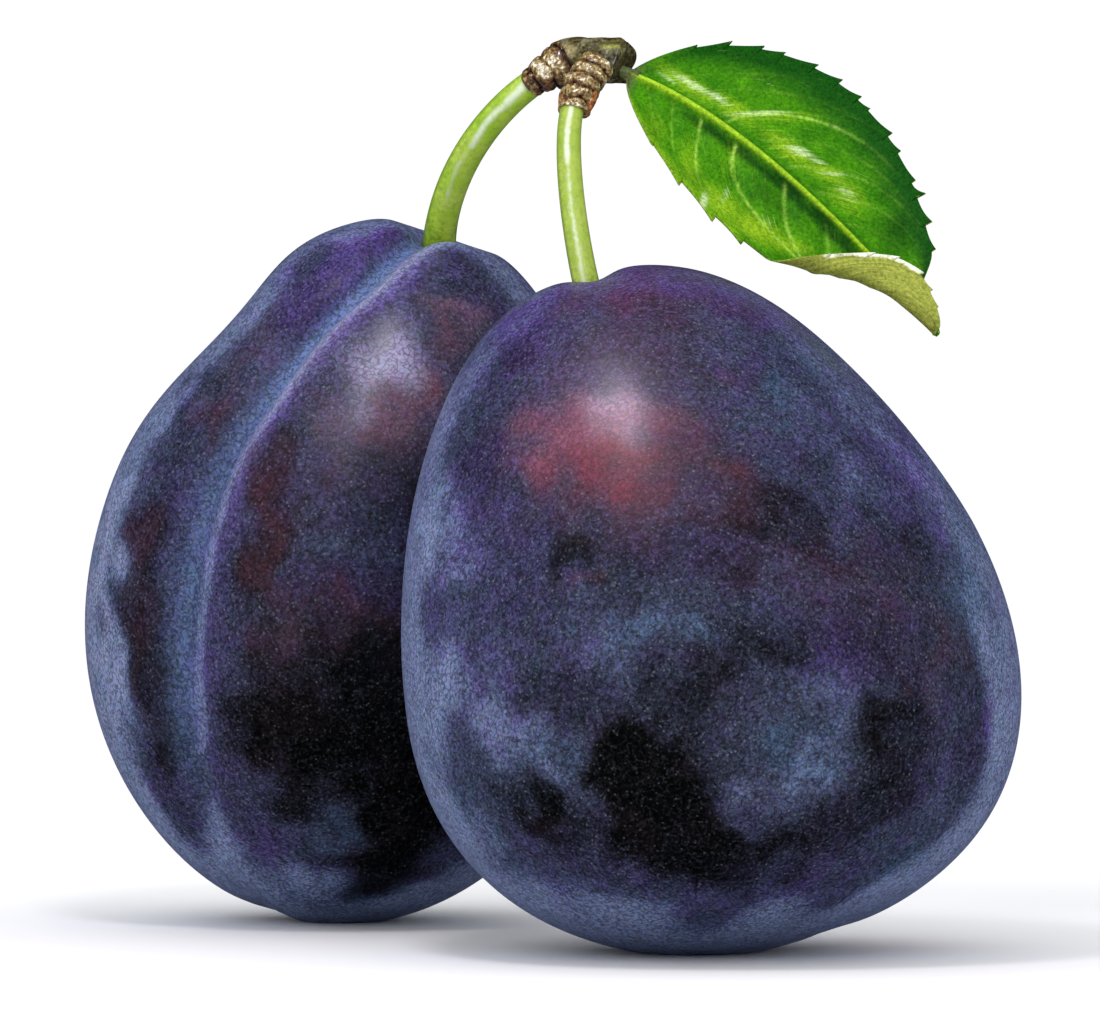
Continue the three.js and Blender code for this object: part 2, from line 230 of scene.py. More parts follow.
# %% Colours and nodes
def colour(code):
    """An sRGB hex code as linear red, green, blue and alpha: a share c becomes the power 2.4 of (c + 0.055) /
    1.055, or c / 12.92 where it is very dark."""
    c = np.array([int(code[i : i + 2], 16) for i in (1, 3, 5)]) / 255
    return (*np.where(c <= 0.04045, c / 12.92, ((c + 0.055) / 1.055) ** 2.4).tolist(), 1.0)


def fill(node, inputs):
    """Fills a node's inputs, by name or number, each from a socket, a hex colour or a plain value."""
    for key, value in inputs.items():
        if isinstance(value, bpy.types.NodeSocket):
            node.id_data.links.new(value, node.inputs[key])
        else:
            node.inputs[key].default_value = colour(value) if isinstance(value, str) else value


def add(tree, kind, inputs, output=0, **settings):
    """Adds a node of a kind such as Math, with its inputs and settings, and returns one of its outputs."""
    node = tree.nodes.new("ShaderNode" + kind)
    for key, value in settings.items():
        setattr(node, key, value)
    fill(node, inputs)
    return node.outputs[output]


def new_material(name, fields=()):
    """A new material and its Principled shader, the function that adds its nodes, and the named fields of
    its mesh."""
    material = bpy.data.materials.new(name)
    material.use_nodes = True
    node = partial(add, material.node_tree)
    field = {key: node("Attribute", {}, "Fac", attribute_name=key) for key in fields}
    return material, material.node_tree.nodes["Principled BSDF"], node, field


def pattern(where, size_mm, detail, roughness, distortion=0.0):
    """The inputs of a noise whose lumps are about size_mm wide."""
    sizes = {"Scale": 1000 / size_mm, "Detail": detail, "Roughness": roughness, "Distortion": distortion}
    return {"Vector": where, **sizes}


def layered(node, base, *layers):
    """Colours laid over a base, one after another. Each covers it by 0 to most as its source goes from
    start to end."""
    for source, start, end, most, over in layers:
        cover = node("MapRange", {"Value": source, "From Min": start, "From Max": end, "To Max": most})
        base = node("Mix", {0: cover, 6: base, 7: over}, 2, data_type="RGBA")
    return base


def shaded(node, base, source, span, shades, share=1.0):
    """A colour times a shade, which goes from the first of two to the second as its source goes through
    span."""
    limits = dict(zip(("From Min", "From Max", "To Min", "To Max"), (*span, *shades)))
    shade = node("MapRange", {"Value": source, **limits})
    return node("Mix", {0: share, 6: base, 7: shade}, 2, data_type="RGBA", blend_type="MULTIPLY")


# %% [markdown]
# ## The floor and the light
#
# The floor is a sheet of matt white paper, so it shows no mirror image, only a soft shadow. One small
# softbox near the fruits gives them their highlights. A huge soft ceiling and an even sky fill the shadows
# and leave no reflections, so the dark skin stays dark.

# %% Floor, sky and lights
FLOOR_RADIUS, FLOOR_SIDES = 9, 96  # m, so that its edge is out of view at this low angle
ring = np.linspace(0, 2 * np.pi, FLOOR_SIDES, endpoint=False)
floor_mesh = bpy.data.meshes.new("floor")
floor_points = np.stack([np.cos(ring), np.sin(ring), 0 * ring], axis=-1) * FLOOR_RADIUS
floor_mesh.from_pydata(floor_points.tolist(), [], [list(range(FLOOR_SIDES))])
paper, shader, _, _ = new_material("matt white paper sweep")
fill(shader, {"Base Color": "#f9f9f9", "Roughness": 1.0, "Specular IOR Level": 0.0})
floor_mesh.materials.append(paper)
floor = bpy.data.objects.new("floor", floor_mesh)
bpy.context.scene.collection.objects.link(floor)
floor.visible_glossy = False  # it lights the fruits from below, but doesn't mirror in their dark skin

world = bpy.data.worlds.new("dim studio")
world.use_nodes = True
fill(world.node_tree.nodes["Background"], {"Color": "#f6f7fa", "Strength": 1.0})
world.cycles_visibility.glossy = False  # an even glow all round, with nothing in it for gloss to mirror
bpy.context.scene.world = world
bpy.context.scene.view_settings.view_transform = "Standard"


def add_lamp(name, kind, towards, settings):
    """A lamp that shines from the direction towards."""
    lamp = bpy.data.lights.new(name, kind)
    for key, value in settings.items():
        setattr(lamp, key, value)
    lamp_object = bpy.data.objects.new(name, lamp)
    lamp_object.rotation_euler = Vector(towards).to_track_quat("Z", "Y").to_euler()
    bpy.context.scene.collection.objects.link(lamp_object)
    return lamp_object


ceiling = add_lamp("ceiling bounce", "SUN", (-0.25, -0.2, 0.95), {"energy": 0.5, "angle": np.radians(100)})
ceiling.visible_glossy = False  # it leaves no highlight, as a huge white ceiling would
KEY_AT = np.array([-22, -75, 153])  # mm, a small softbox close to the fruits
KEY_AIM = np.array([0, -15, 45])  # mm
KEY_POWER, KEY_SIZE = 0.062, 0.03  # W and m
key_settings = {"energy": KEY_POWER, "shape": "DISK", "size": KEY_SIZE, "color": colour("#fbf3ff")[:3]}
key = add_lamp("key softbox", "AREA", KEY_AT - KEY_AIM, key_settings)
key.location = KEY_AT * MM
key.visible_camera = False

# %% [markdown]
# ## The fruits
#
# A plum of this kind is an egg that stands on its blossom end. Its stalk sits in a small round cavity, and
# a seam called the suture runs from there down one side, between two soft lobes. One formula gives the
# outline, and the suture, the cavity, the valley over the crown and the scar at the blossom end are
# bell-shaped dents pushed into it. It is the formula of the CAD solid with four times as many points each
# way, so the two agree everywhere.

# %% The fruits' dimensions, in mm and degrees: the front fruit's, then the back one's
FRUITS = {
    "length": (56.8, 60.4),
    "half_depth": (25.7, 23.5),  # towards the suture
    "half_thickness": (24.4, 21.65),  # across it
    "taper": (0.166, 0.075),  # share by which the stalk end is narrower
    "suture_taper": (-0.033, -0.091),  # what the suture's side adds to that
    "fullness": (0.883, 1.027),  # power of the sine, below 1 for an egg fuller than an ellipse
    "three_lobe": (0.022, 0.014),  # share of the third harmonic along the length
    "waist": ((0, 0), (0.12, -58)),  # share of the radius lost below one shoulder, and on which side
    "shoulder_skew": (-2.9, 1.7),  # how much higher the shoulder over the suture is
    "bend": (-3.8, 1.6),  # how far the middle bows towards the suture
    "cavity_at": ((-1.5, 1.7), (0, 0)),
    "saddle": (0.75, 0),  # depth of the valley over the crown
    "groove": (1.2, 1.5),  # depth of the crease
    "lobes": (0.5, 0.6),  # depth of the wide dip between the lobes
    "suture_bow": (0, 2.8),
    "crown_wax": (0.72, 0.9),  # share of the sides' wax that lies on the crown
    "centre": ((13.45, -15.1), (-15.25, 19.5)),
    "turn": (50, -122),
    "lean": ((-17.7, 5), (12.6, -8)),  # of the stalk end, to +X and to +Y
}
FRONT_FRUIT, BACK_FRUIT = ({key: pair[which] for key, pair in FRUITS.items()} for which in (0, 1))
CAVITY_DEPTH, CAVITY_RADIUS = 3.0, 2.9
SCAR_DEPTH, SCAR_RADIUS = 0.6, 2.2
SADDLE_TURN, SADDLE_WIDTH = np.radians(40), 1.9
# The crease and the dip begin within a start range of mm from the axis, and keep a share of their depth on
# the lower half, where the crease is a number of times wider.
CREASE_WIDTH, CREASE_START, CREASE_KEPT, CREASE_WIDER = 1.6, (0.5, 4), 0.35, 1.6
DIP_WIDTH, DIP_START, DIP_KEPT = 7, (2, 8), 0.3
# Heights on the fruit are cosines of the polar angle: 1 at the stalk, 0 at the middle, -1 at the blossom end.
SADDLE_HEIGHTS = (0.7, 0.95)
SUTURE_HEIGHTS = (-0.9, 0.2)  # where the suture deepens
CREASE_HEIGHTS = (-0.1, 0.5)  # where it narrows
BOW_AT, BOW_WIDTH = 0.2, 0.5  # where the suture's line bows aside
HOOK_SHARE, HOOK_AT, HOOK_WIDTH = 0.6, 0.84, 0.14  # and where it hooks back near the stalk
WAIST_AT, WAIST_WIDTH = 0.9, 0.3  # radians from the stalk
SEAT_DEPTH = 0.45
FRUIT_ROWS, FRUIT_COLUMNS = 300, 320
CROWDED_ROWS, CROWDED_COLUMNS = 0.3, 0.45  # how strongly rows and columns crowd together
SWELL, SWELL_LENGTH = 0.1, 15  # mm, how far the skin swells and dips, and over what length


# %% The egg
def fruit_outline(fruit, polar, around):
    """Half-width as a share: sine of the polar angle to a power, less taper times its cosine, plus a third
    harmonic, divided by its own maximum, and narrowed by a bell below one shoulder."""
    taper = fruit["taper"] + fruit["suture_taper"] * np.cos(around)

    def shape(p):
        arch = np.sin(p) ** fruit["fullness"]
        return arch * (1 - taper * np.cos(p) + fruit["three_lobe"] * np.cos(3 * p))

    widest = shape(np.linspace(0.01, 3.13, 313)[:, None]).max(axis=0)  # looked for every 0.01 radian
    share, side = fruit["waist"]
    facing = 0.5 + 0.5 * np.cos(around - np.radians(side))
    return shape(polar) / widest * (1 - share * facing * bell(polar - WAIST_AT, WAIST_WIDTH))


def from_suture(fruit, polar, y):
    """Distance from the suture's line, which bows to the -Y side by a bell of the height, and hooks back
    near the stalk by a smaller one."""
    high = np.cos(polar)
    bow = bell(high - BOW_AT, BOW_WIDTH) - HOOK_SHARE * bell(high - HOOK_AT, HOOK_WIDTH)
    return y + fruit["suture_bow"] * bow


def suture_depth(fruit, polar, x, y):
    """How deep the suture is: a sharp bell across it for the crease, in a wide one for the dip between the
    lobes. Both are shallower on the lower half, where the crease is wider."""
    aside = from_suture(fruit, polar, y)
    fade = smooth(np.cos(polar), *SUTURE_HEIGHTS)
    width = CREASE_WIDTH * mix(CREASE_WIDER, 1, smooth(np.cos(polar), *CREASE_HEIGHTS))
    crease = mix(CREASE_KEPT, 1, fade) * bell(aside, width) * smooth(x, *CREASE_START)
    dip = mix(DIP_KEPT, 1, fade) * bell(aside, DIP_WIDTH) * smooth(x, *DIP_START)
    return fruit["groove"] * crease + fruit["lobes"] * dip


def fruit_skin(fruit, polar, around):
    """The egg in its own frame, stalk end up and suture towards +X. The cavity, the valley and the scar are
    taken from its height, and the suture is pushed in against the egg's own outward direction."""
    share = fruit_outline(fruit, polar, around)
    x = share * fruit["half_depth"] * np.cos(around)
    y = share * fruit["half_thickness"] * np.sin(around)
    upper = polar < np.pi / 2
    along, across = fruit["cavity_at"]
    skew = fruit["shoulder_skew"] * np.cos(around) * np.sin(2 * polar)
    z = fruit["length"] / 2 * np.cos(polar) + upper * skew
    z = z - upper * CAVITY_DEPTH * bell(np.hypot(x - along, y - across), CAVITY_RADIUS)
    off_valley = (x - along) * np.cos(SADDLE_TURN) - (y - across) * np.sin(SADDLE_TURN)
    z = z - fruit["saddle"] * bell(off_valley, SADDLE_WIDTH) * smooth(np.cos(polar), *SADDLE_HEIGHTS)
    z = z + ~upper * SCAR_DEPTH * bell(np.hypot(x, y), SCAR_RADIUS)
    semi_axes = np.array([fruit["half_depth"], fruit["half_thickness"], fruit["length"] / 2])
    outward = unit(np.stack([x, y, z], axis=-1) / semi_axes**2)
    bent = np.stack([x + fruit["bend"] * np.sin(polar) ** 2, y, z], axis=-1)
    return bent - suture_depth(fruit, polar, x, y)[..., None] * outward


# %% [markdown]
# The fruit is turned, leaned and set down. Its weight presses the underside flat over about 10 mm, so
# points below the table are lifted to it. Rows and columns crowd towards the stalk end and the suture,
# where the skin bends most.


# %% Standing the fruits up
def fruit_surface(fruit):
    """The standing fruit as a grid from blossom end to stalk end, with both poles and its own angles."""
    polar = np.linspace(np.pi, 0, FRUIT_ROWS + 2)
    polar = (polar - CROWDED_ROWS * np.sin(polar))[:, None]
    around = np.linspace(0, 2 * np.pi, FRUIT_COLUMNS, endpoint=False)
    around = (around - CROWDED_COLUMNS * np.sin(around))[None, :]
    grid = fruit_skin(fruit, np.clip(polar, 1e-4, np.pi - 1e-4), around)
    stand = turned("y", fruit["lean"][0]) @ turned("x", -fruit["lean"][1]) @ turned("z", fruit["turn"])
    grid = grid @ stand.T
    grid += [*fruit["centre"], -grid[..., 2].min() - SEAT_DEPTH]
    swell = SWELL * ripple(grid, SWELL_LENGTH, 7) * smooth(grid[..., 2], 1, 8)  # none near the table
    grid = grid + outwards(grid) * swell[..., None]
    grid[..., 2] = np.maximum(grid[..., 2], 0)
    return grid, polar + 0 * around, around + 0 * polar


front_surface = fruit_surface(FRONT_FRUIT)
back_surface = fruit_surface(BACK_FRUIT)
for name, (grid, _, _) in (("front", front_surface), ("back", back_surface)):
    print(f"{name} fruit in mm:", np.round(np.ptp(grid, axis=(0, 1)), 1).tolist())

# %% [markdown]
# ### Where the wax lies
#
# A ripe plum is almost black, over wine red where the sun reached it. What looks blue is bloom, a dust of
# wax that rubs off wherever a leaf, a twig or a hand touches. So the skin needs a few fields: how thick the
# bloom is, how red the skin is beneath it, how violet the bloom's tint is, and where a painted highlight
# lies. Each field is a base value plus soft ellipses given in lists. A place is given as it is seen from the
# front, in mm across and up from the origin, and the formula finds the point of the skin there and
# measures in space from it, so no ellipse smears at the fruit's edge. Nobody sees the far side from the
# front, so chance places its marks.

# %% Marks on the skin: across, up, half-width, half-height in mm, turn in degrees, strength
FRONT_MARKS = {
    "bloom": [
        (8.5, 26.5, 3.8, 1.4, -8, 0.42), (3.8, 23.7, 2.3, 3.3, 8, 0.51), (4.4, 19.3, 0.8, 2.0, 0, 0.24),
        (-2.2, 16.2, 6.6, 3.0, -38, 0.54), (2.2, 12.9, 2.0, 1.8, -30, 0.42),
        (19.6, 13.3, 4.3, 2.5, 10, 0.6), (23.6, 18.7, 2.0, 3.8, -8, 0.6), (18.7, 18.7, 2.1, 2.8, -35, 0.18),
        (15.8, 8.8, 1.2, 2.1, -20, 0.36), (1.5, 8.8, 1.3, 1.0, -40, 0.38), (24.2, 35.0, 2.3, 3.1, 22, 0.33),
        (17.6, 44.5, 5.0, 4.0, -10, 0.15), (21.7, 43.2, 4.1, 3.3, -30, 0.18),
        (-6.8, 20.5, 5.0, 5.0, 0, 0.39), (-7.9, 32.5, 3.5, 5.3, 0, 0.63), (1.5, 44.5, 4.1, 3.0, 10, 0.15),
    ],
    "wiped": [
        (8.5, 11.5, 5.3, 6.6, 0, 1.22), (5.8, 16.2, 3.1, 2.8, 20, 0.68), (-1.6, 11.0, 2.5, 1.8, -15, 0.74),
        (0.8, 8.3, 2.8, 1.7, -42, 0.57), (12.2, 21.7, 4.5, 2.1, 18, 0.54), (18.4, 23.7, 3.5, 1.5, -6, 0.46),
        (29.1, 18.4, 3.0, 4.6, -4, 0.46), (26.4, 15.4, 2.3, 4.0, 18, 0.43), (22.6, 9.2, 5.0, 2.3, 27, 0.51),
        (29.1, 12.3, 3.1, 1.5, 27, 0.34), (14.0, 6.3, 6.4, 2.6, 8, 0.74), (1.2, 32.2, 1.3, 2.2, 5, 0.65),
        (3.3, 29.9, 1.3, 0.7, 0, 0.34), (19.3, 35.6, 3.1, 1.8, -25, 0.41),
        (22.3, 31.6, 3.1, 1.7, -30, 0.32), (-0.3, 20.5, 3.8, 2.0, -28, 0.3),
        (30.8, 31.3, 3.1, 3.8, 0, 0.24), (11.4, 32.5, 9.9, 3.1, 0, 0.3), (25.6, 24.7, 5.1, 3.3, 0, 0.22),
        (-0.3, 42.8, 1.2, 3.3, 0, 0.14), (4.1, 52.5, 3.6, 1.7, 8, 0.16), (12.2, 52.7, 8.2, 2.6, -12, 0.16),
        (-1.4, 49.8, 3.6, 1.8, 35, 0.3), (-5.4, 39.1, 2.8, 3.8, 0, 0.22), (14.9, 38.4, 2.8, 2.5, -20, 0.32),
        (15.5, 34.4, 3.1, 2.1, 0, 0.57), (5.0, 40.0, 5.0, 3.5, 0, 0.46),
    ],
    "wine": [
        (4.6, 41.5, 6.9, 5.4, 0, 0.62), (5.1, 38.7, 4.1, 3.1, 0, 0.38), (0.0, 41.5, 3.1, 4.3, 0, 0.38),
        (9.9, 41.5, 2.6, 3.6, 0, 0.24), (7.3, 49.0, 6.1, 2.8, 0, 0.24), (2.6, 37.4, 2.1, 2.0, 0, 0.16),
        (14.9, 38.4, 2.8, 2.5, -20, 0.55), (4.0, 53.0, 4.6, 2.8, 10, 0.36),
        (11.4, 53.7, 7.9, 3.0, -10, 0.38), (14.2, 46.5, 1.3, 1.0, 0, 0.4), (1.9, 28.5, 0.8, 0.8, 0, 0.6),
        (3.6, 30.2, 1.0, 0.7, 0, 0.5), (26.2, 28.6, 4.5, 3.3, 0, 0.26), (32.5, 23.8, 1.5, 4.3, 0, 0.34),
        (28.4, 20.5, 1.0, 1.3, 0, 0.4), (19.6, 30.9, 5.0, 2.0, 0, 0.24), (7.3, 34.6, 7.4, 1.7, 0, 0.22),
    ],
    "violet": [
        (-1.3, 50.6, 3.8, 2.5, 35, 1.0), (15.7, 53.4, 5.8, 2.0, -22, 0.8), (7.3, 55.0, 9.1, 2.1, 0, 0.7),
        (23.1, 23.8, 2.3, 1.8, 0, 0.55), (9.6, 22.7, 3.0, 1.5, 0, 0.5), (29.1, 38.7, 3.6, 4.1, -40, 0.45),
        (37.5, 19.7, 1.2, 7.4, 0, 0.5), (14.2, 46.5, 1.7, 1.2, 0, 0.4), (10.6, 32.5, 5.8, 2.5, 0, 0.35),
        (-5.4, 39.1, 3.3, 3.8, 0, 0.35), (8.1, 24.7, 5.4, 3.8, 0, -0.6), (20.5, 15.4, 5.3, 4.8, 0, -0.55),
        (-1.0, 14.6, 5.9, 3.5, 0, -0.4), (-8.2, 9.8, 4.1, 5.4, 0, -0.5), (34.2, 28.0, 2.3, 7.4, 0, -0.55),
        (29.1, 6.3, 5.1, 3.1, 25, -0.35), (17.3, 44.5, 4.5, 3.3, 0, -0.3), (7.3, 0.7, 9.9, 2.1, 0, -0.3),
    ],
    # Painted highlight: a pale patch where the softbox's highlight sits on the crown, and a faint rosy glow
    # round it.
    "pale": [
        (5.5, 43.1, 2.2, 1.8, 0, 0.42), (1.9, 42.0, 3.6, 3.3, 0, 0.05), (0.0, 41.3, 2.1, 3.5, 0, 0.09),
    ],
}
BACK_MARKS = {
    "bloom": [
        (-36.8, 28.0, 1.5, 12.4, 0, 0.7), (-33.2, 42.8, 1.7, 5.0, -30, 0.28),
        (-27.0, 50.2, 5.4, 1.8, 46, 0.28), (-12.5, 51.7, 1.7, 1.7, 0, 0.28),
        (-13.8, 47.6, 3.0, 2.1, 0, 0.22), (-19.3, 32.5, 2.8, 2.0, -10, 0.2),
        (-18.5, 9.3, 3.3, 1.8, 8, 0.31), (-16.5, 13.8, 2.5, 1.2, 20, 0.28),
        (-33.0, 38.7, 2.1, 2.5, -15, 0.17), (-24.2, 6.1, 3.6, 2.1, -35, 0.22),
        (-20.8, 47.8, 1.7, 2.5, -35, 0.17), (-17.1, 55.4, 3.3, 1.7, 32, 0.28),
        (-24.4, 48.3, 1.8, 2.3, -32, 0.34), (-18.3, 3.7, 5.8, 1.3, 0, 0.28),
    ],
    "wiped": [
        (-29.4, 44.3, 1.8, 3.3, -32, 0.61), (-26.7, 41.8, 2.0, 2.6, -20, 0.46),
        (-33.0, 32.3, 2.0, 4.1, -5, 0.57), (-33.3, 22.4, 2.0, 6.4, 4, 0.7),
        (-31.3, 15.8, 1.3, 3.5, -22, 0.61), (-21.6, 16.8, 4.8, 4.1, 0, 1.42),
        (-12.2, 13.5, 5.4, 7.9, 0, 1.49), (-14.8, 5.9, 4.6, 2.5, 0, 1.01), (-13.8, 23.8, 4.5, 5.0, 0, 0.68),
        (-23.1, 38.0, 1.8, 4.8, 12, 0.46), (-12.4, 38.0, 3.5, 5.0, 0, 0.38),
        (-24.9, 31.1, 1.7, 5.0, 0, 0.46), (-20.4, 22.9, 5.1, 3.1, 0, 0.49), (-9.9, 31.3, 2.3, 8.2, 0, 0.61),
        (-20.8, 11.5, 2.5, 1.8, 0, 0.61), (-17.1, 28.0, 5.0, 2.1, 0, 0.16),
        (-23.4, 31.3, 1.5, 5.0, 0, 0.35),
    ],
    "wine": [
        (-7.4, 51.6, 2.0, 2.3, 0, 0.5), (-8.2, 48.8, 1.3, 1.7, 0, 0.36), (-24.9, 48.4, 1.7, 3.5, -36, 0.38),
        (-27.2, 43.5, 1.3, 3.0, -25, 0.42), (-34.3, 32.5, 2.1, 3.5, 0, 0.34),
        (-23.9, 31.3, 1.7, 5.4, 5, 0.36), (-23.1, 36.9, 2.3, 3.5, 15, 0.3),
        (-22.1, 25.9, 2.1, 3.3, 0, 0.26), (-18.3, 38.7, 1.3, 3.0, 0, 0.28), (-14.8, 42.4, 3.8, 3.3, 0, 0.5),
        (-10.9, 44.6, 2.5, 2.3, 0, 0.5), (-17.1, 27.0, 4.5, 2.3, 0, 0.26), (-16.3, 28.0, 0.7, 1.3, 0, 0.26),
        (-34.0, 23.0, 1.3, 5.0, 0, 0.2),
    ],
    "violet": [
        (-17.1, 55.4, 4.1, 2.1, 32, 1.0), (-20.5, 52.4, 2.8, 1.7, 34, 0.6), (-14.4, 58.0, 2.1, 0.7, 0, 0.4),
        (-13.9, 47.6, 2.5, 2.0, 0, 0.5), (-17.1, 28.0, 4.1, 2.1, 0, 0.35), (-35.6, 38.7, 3.3, 5.0, 0, -0.3),
        (-18.5, 9.3, 3.3, 2.0, 0, -0.45), (-19.3, 32.5, 2.8, 2.0, 0, -0.45),
        (-37.3, 24.7, 2.1, 9.9, 0, -0.4), (-18.3, 3.2, 7.4, 2.5, 0, -0.35),
    ],
    # Painted highlight on the crown with its glow, a small pale spot near the stalk, and painted rim sheen
    # along the left outline.
    "pale": [
        (-14.0, 47.6, 2.5, 2.3, 0, 0.53), (-13.5, 46.5, 5.1, 4.6, 0, 0.12), (-7.6, 51.9, 1.3, 1.8, 0, 0.1),
        (-37.4, 28.0, 1.2, 12.4, 0, 0.22),
    ],
}
CRISP_MARKS = ("bloom", "wiped")  # wax ends at an edge, but redness fades away
# Marks of the far side: how many there are, their sizes in mm, their strength and the power of the distance.
CHANCE_MARKS = {
    "wiped": (26, (2.5, 9), 0.6, 1.5),
    "bloom": (16, (3, 8), 0.5, 1.5),
    "wine": (12, (4, 9), 0.42, 1),
    "violet": (8, (4, 9), 0.36, 1),
}
CHANCE_MOST = 1.4  # what marks that overlap add up to at most, as a share of the strength of one
RAGGED, RAGGED_LENGTH = 3.2, 5  # mm, how far an edge wanders at the very most, and over what length


# %% Laying the marks on the skin
def seen(points):
    """Where points appear from the camera, in mm across and up: their offset from the view's centre, grown
    by how much nearer than the centre they are."""
    offset = points + PLACE - VIEW_CENTRE
    deep = offset[..., 1] * np.cos(VIEW_TILT) - offset[..., 2] * np.sin(VIEW_TILT)
    nearer = VIEW_DISTANCE / (VIEW_DISTANCE + deep)
    high = offset[..., 2] * np.cos(VIEW_TILT) + offset[..., 1] * np.sin(VIEW_TILT)
    return offset[..., 0] * nearer + VIEW_CENTRE[0] - PLACE[0], high * nearer + VIEW_CENTRE[2]


def ragged(points):
    """The points moved by three ripples, mostly by less than a millimetre, so that marks get uneven edges."""
    return points + RAGGED * np.stack([ripple(points, RAGGED_LENGTH, seed) for seed in (11, 12, 13)], axis=-1)


def marks(grid, out, spots, crisp):
    """The sum of soft ellipses on the skin: a bell of the distance from each centre, in units of its
    half-width across, its half-height up, and half as much again as the larger of the two in depth. The
    distance is raised to a power for a crisp mark."""
    across, up = seen(grid)
    moved = ragged(grid)
    field = np.zeros(grid.shape[:2])
    for x, z, half_width, half_height, turn, strength in spots:
        away = np.hypot(across - x, up - z) + 100 * (out[..., 1] > 0)  # never a point of the far side
        offset = moved - grid.reshape(-1, 3)[away.argmin()]
        c, s = np.cos(np.radians(turn)), np.sin(np.radians(turn))
        right, high = offset[..., 0] * c + offset[..., 2] * s, offset[..., 2] * c - offset[..., 0] * s
        deep = offset[..., 1] / (1.5 * max(half_width, half_height))
        away = np.sqrt((right / half_width) ** 2 + (high / half_height) ** 2 + deep**2)
        field += strength * bell(away**1.5 if crisp else away, 1)
    return field


def chance_marks(grid, out, count, sizes, strength, power, seed):
    """Round marks of random sizes in mm, at random places on the far side, which the lists don't reach. A
    higher power of the distance gives them crisper edges. Where they overlap, their sum is capped."""
    draw = np.random.default_rng(seed)
    moved = ragged(grid)
    far = grid[out[..., 1] > -0.05]
    field = np.zeros(grid.shape[:2])
    for centre, size in zip(far[draw.integers(0, len(far), count)], draw.uniform(*sizes, count)):
        away = np.linalg.norm((moved - centre) * [1, 1, draw.uniform(0.6, 1.6)], axis=-1) / size
        field += strength * bell(away**power, 1)
    beyond = smooth(out[..., 1] + 0.15 * ripple(grid, 7, 22), -0.18, 0.1)
    return np.minimum(field, CHANCE_MOST * strength) * beyond


# %% [markdown]
# Before any mark is laid, the wax is thick on the flanks, where the skin turns away from the front, and thin
# where it faces the front or the back. That is partly real wax and partly painted rim sheen, which makes the
# outline seen from the front lighter. More wax low on the fruit and on its lower flanks is painted light: it
# lightens them where less light reaches. Wax also gathers along the suture: a blue line lies in the crease,
# and a broader one on the lip beside it, with a pale film there painted as a soft highlight line.

# %% One fruit with its fields
SIDE_BLOOM_AND_RIM_SHEEN, BELLY_BLOOM = 1.42, 0.56  # how much of the skin the wax covers, at the sides and in front; at the sides it is partly painted rim sheen
SIDE_FROM, SIDE_TO = 0.30, 0.62  # how far the skin faces the front where one becomes the other
FAR_FROM, FAR_TO = -0.05, 0.3  # the same on the far side
CROWN_FACING = (0.3, 0.75)  # how far the skin faces up where the sides become the crown
FOOT_PAINTED_LIGHT, FOOT_TOP = 0.35, 12  # painted light: extra pale wax near the table, up to this many mm, where less light reaches
FLANK_PAINTED_LIGHT, FLANK_TOP = 0.4, 45  # and painted light in the same way on the lower flanks
LIP_AT, LIP_WIDTH, LIP_WAX = 2.4, 1.7, 0.5  # mm from the suture, mm wide, and its extra wax
LIP_HIGHLIGHT_AT, LIP_HIGHLIGHT_WIDTH, LIP_HIGHLIGHT_SHARE = 1.7, 1.0, 0.35  # a pale film on that lip, painted as a soft highlight line
SEAM_WIDTHS, SEAM_SHARES = (1.7, 0.9), (0.56, 1)  # of the blue line in the crease, below and above
DULL_AT, DULL_WIDTH, DULL_SHARE = -2, 4.5, 0.9  # the dull stretch beside the suture


